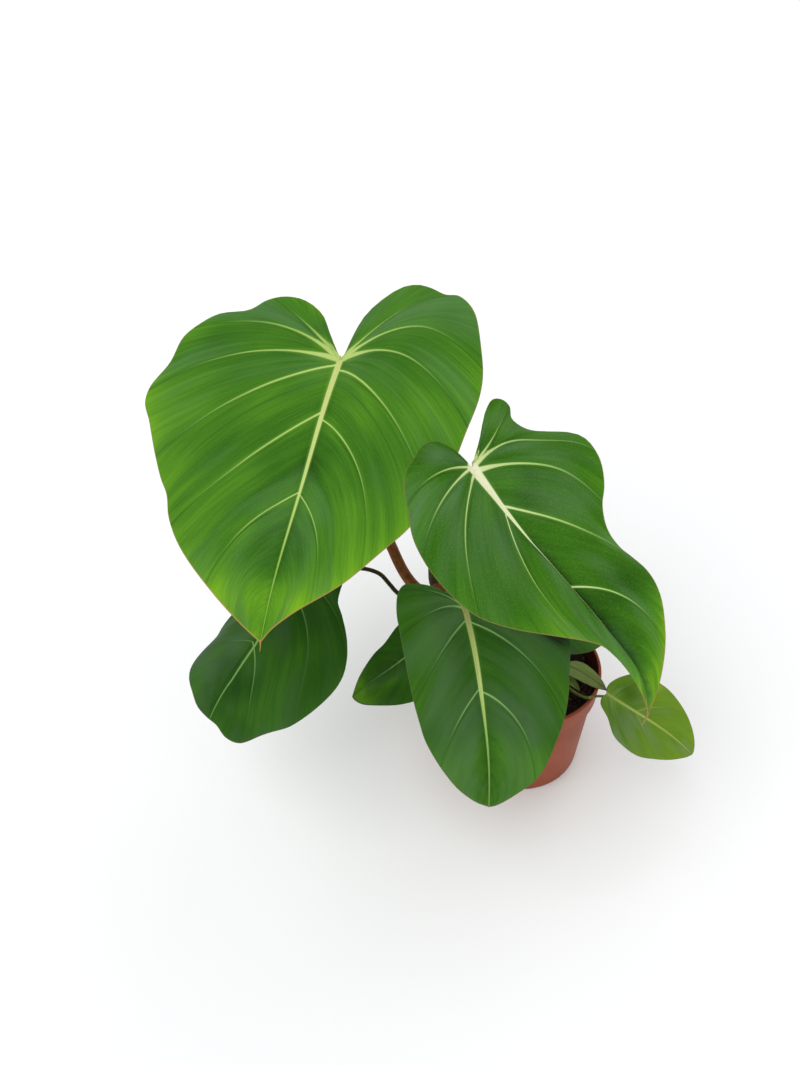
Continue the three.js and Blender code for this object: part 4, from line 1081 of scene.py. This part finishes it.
drills = bmesh.new()
for hole in range(pot["drainHoles"]):
    angle = 2 * math.pi * (hole + 0.5) / pot["drainHoles"]
    centre = Vector((math.cos(angle), math.sin(angle), 0)) * pot["drainCircle"] * millimetre
    bmesh.ops.create_cone(drills, cap_ends=True, segments=32, radius1=pot["drainRadius"] * millimetre,
                          radius2=pot["drainRadius"] * millimetre, depth=5 * wall * millimetre,
                          matrix=Matrix.Translation(centre))
drillPiece = shapedPiece("drainHoleDrills", drills, potPlastic)
cutter = potPiece.modifiers.new("drainHoles", "BOOLEAN")
cutter.operation = "DIFFERENCE"
cutter.solver = "EXACT"
cutter.object = drillPiece
bpy.context.view_layer.update()
cutMesh = bpy.data.meshes.new_from_object(potPiece.evaluated_get(bpy.context.evaluated_depsgraph_get()))
potPiece.modifiers.clear()
potPiece.data = cutMesh
bpy.data.objects.remove(drillPiece)
cutMesh.polygons.foreach_set("use_smooth", [True] * len(cutMesh.polygons))
cutMesh.set_sharp_from_angle(angle=math.radians(40))
finishPiece(potPiece, "pot")
print("pot moulded")


soil = {
    "top": 92, "radius": 54.9, "bottom": 1.9, "bottomRadius": 50.8, "rings": 46, "segments": 150,
    "crumbs": 1100, "crumbRadius": 53.5, "crumbTop": 94, "crumbSizes": (0.5, 1.5), "bigCrumbs": 0.06,
    "peat": ("#120a06", "#2a1a11"), "bark": "#5a3526", "seed": 17,
}

# Peat and bark mix, sieved and damp: nearly black, matt, in 4 mm crumbs with a few red-brown 3 mm bits
# of bark.
pottingMix, tree = newMaterial("peatAndBarkMix")
place = addNode(tree, "TexCoord").outputs["Object"]
crumbTone = addNode(tree, "TexNoise", None, {"Vector": place, "Scale": 1000 / 4, "Detail": 3.0})
barkBits = addNode(tree, "TexVoronoi", None, {"Vector": place, "Scale": 1000 / 3})
bitColour = addNode(tree, "SeparateColor", None, {"Color": barkBits.outputs["Color"]})
bitPart = addNode(tree, "MapRange", smoothly, [bitColour, 0.8, 0.95, 0, 0.8])
peat = addNode(tree, "Mix", ofColours, [crumbTone, *soil["peat"]])
barked = addNode(tree, "Mix", ofColours, [bitPart, peat, soil["bark"]])
closeMaterial(tree, crumbTone, 0.7, 1.0, {
    "Base Color": barked, "Roughness": 0.85, "Specular IOR Level": 0.25})


# The soil rises a little from the middle, falls off at the wall and is rough at three sizes.
def soilHeight(x, y):
    distance = math.hypot(x, y)
    base = soil["top"] - 1 + math.sin(min(distance / 40, 1) * math.pi / 2) - max(distance - 42, 0) * 0.16
    rough = noise.noise(Vector((x * 0.12, y * 0.12, 3))) * 1.1
    rough += noise.noise(Vector((x * 0.42, y * 0.42, 9))) * 0.7
    rough += noise.noise(Vector((x * 1.1, y * 1.1, 21))) * 0.35
    return base + rough - 0.6


draw = random.Random(soil["seed"])
shape = bmesh.new()
rings = []
for ring in range(soil["rings"] + 2):
    atBottom = ring > soil["rings"]
    radius = soil["bottomRadius"] if atBottom else soil["radius"] * ring / soil["rings"]
    circle = []
    for turn in range(soil["segments"] if ring else 1):
        angle = 2 * math.pi * turn / soil["segments"]
        x, y = radius * math.cos(angle), radius * math.sin(angle)
        z = soil["bottom"] if atBottom else soilHeight(x, y)
        circle.append(shape.verts.new(Vector((x, y, z)) * millimetre))
    rings.append(circle)
for nearer, further in zip(rings, rings[1:]):
    for turn in range(soil["segments"]):
        following = (turn + 1) % soil["segments"]
        if len(nearer) == 1:
            shape.faces.new((nearer[0], further[turn], further[following]))
        else:
            shape.faces.new((nearer[turn], further[turn], further[following], nearer[following]))
shape.faces.new(list(reversed(circle)))
for crumb in range(soil["crumbs"]):
    distance = soil["crumbRadius"] * math.sqrt(draw.random())
    angle = draw.uniform(0, 2 * math.pi)
    x, y = distance * math.cos(angle), distance * math.sin(angle)
    size = draw.uniform(*soil["crumbSizes"]) + (draw.random() > 1 - soil["bigCrumbs"]) * 1.2
    lumps = bmesh.ops.create_icosphere(shape, subdivisions=1, radius=size * millimetre)["verts"]
    spin = Matrix.Rotation(draw.uniform(0, 6.28), 3,
                           Vector((draw.random(), draw.random(), draw.random() + 0.1)))
    stretch = Vector((draw.uniform(0.6, 1.5), draw.uniform(0.6, 1.1), draw.uniform(0.4, 0.9)))
    centre = Vector((x, y, min(soilHeight(x, y) + size * 0.3, soil["crumbTop"]))) * millimetre
    for vertex in lumps:
        shift = 1 + noise.noise(vertex.co * 900 + Vector((crumb, 0, 0))) * 0.5
        vertex.co = centre + spin @ Vector([a * b for a, b in zip(vertex.co * shift, stretch)])
finishPiece(shapedPiece("pottingMix", shape, pottingMix), "soil")


rhizome = {
    "start": (-30, 8, 91), "end": (24, -8, 91), "radius": 7, "scars": 9, "steps": 60, "sides": 32,
    "bark": ("#2a1e12", "#5a4a2c"),
}

# Woody rhizome skin, grown: matt brown with 3.5 mm knots, ringed with old leaf scars.
rhizomeSkin, tree = newMaterial("ringedRhizomeSkin")
place = addNode(tree, "TexCoord").outputs["Object"]
knots = addNode(tree, "TexNoise", None, {"Vector": place, "Scale": 1000 / 3.5, "Detail": 4.0})
barkPart = addNode(tree, "MapRange", None, [knots, 0.3, 0.7])
tone = addNode(tree, "Mix", ofColours, [barkPart, *rhizome["bark"]])
closeMaterial(tree, knots, 0.6, 0.8, {"Base Color": tone, "Roughness": 0.8})

start, end = Vector(rhizome["start"]), Vector(rhizome["end"])
path, radii = [], []
for step in range(rhizome["steps"] + 1):
    part = step / rhizome["steps"]
    path.append(start.lerp(end, part))
    taper = min(1, math.sqrt(max(1 - abs(2 * part - 1) ** 6, 0)) + 0.12)
    ringing = 1 - 0.1 * abs(math.sin(part * math.pi * rhizome["scars"])) ** 6
    radii.append(rhizome["radius"] * taper * ringing)
rhizomePiece = stemPiece("rhizome", path, radii, rhizome["sides"], rhizomeSkin)
finishPiece(rhizomePiece, "rhizome")
print("soil and rhizome laid")
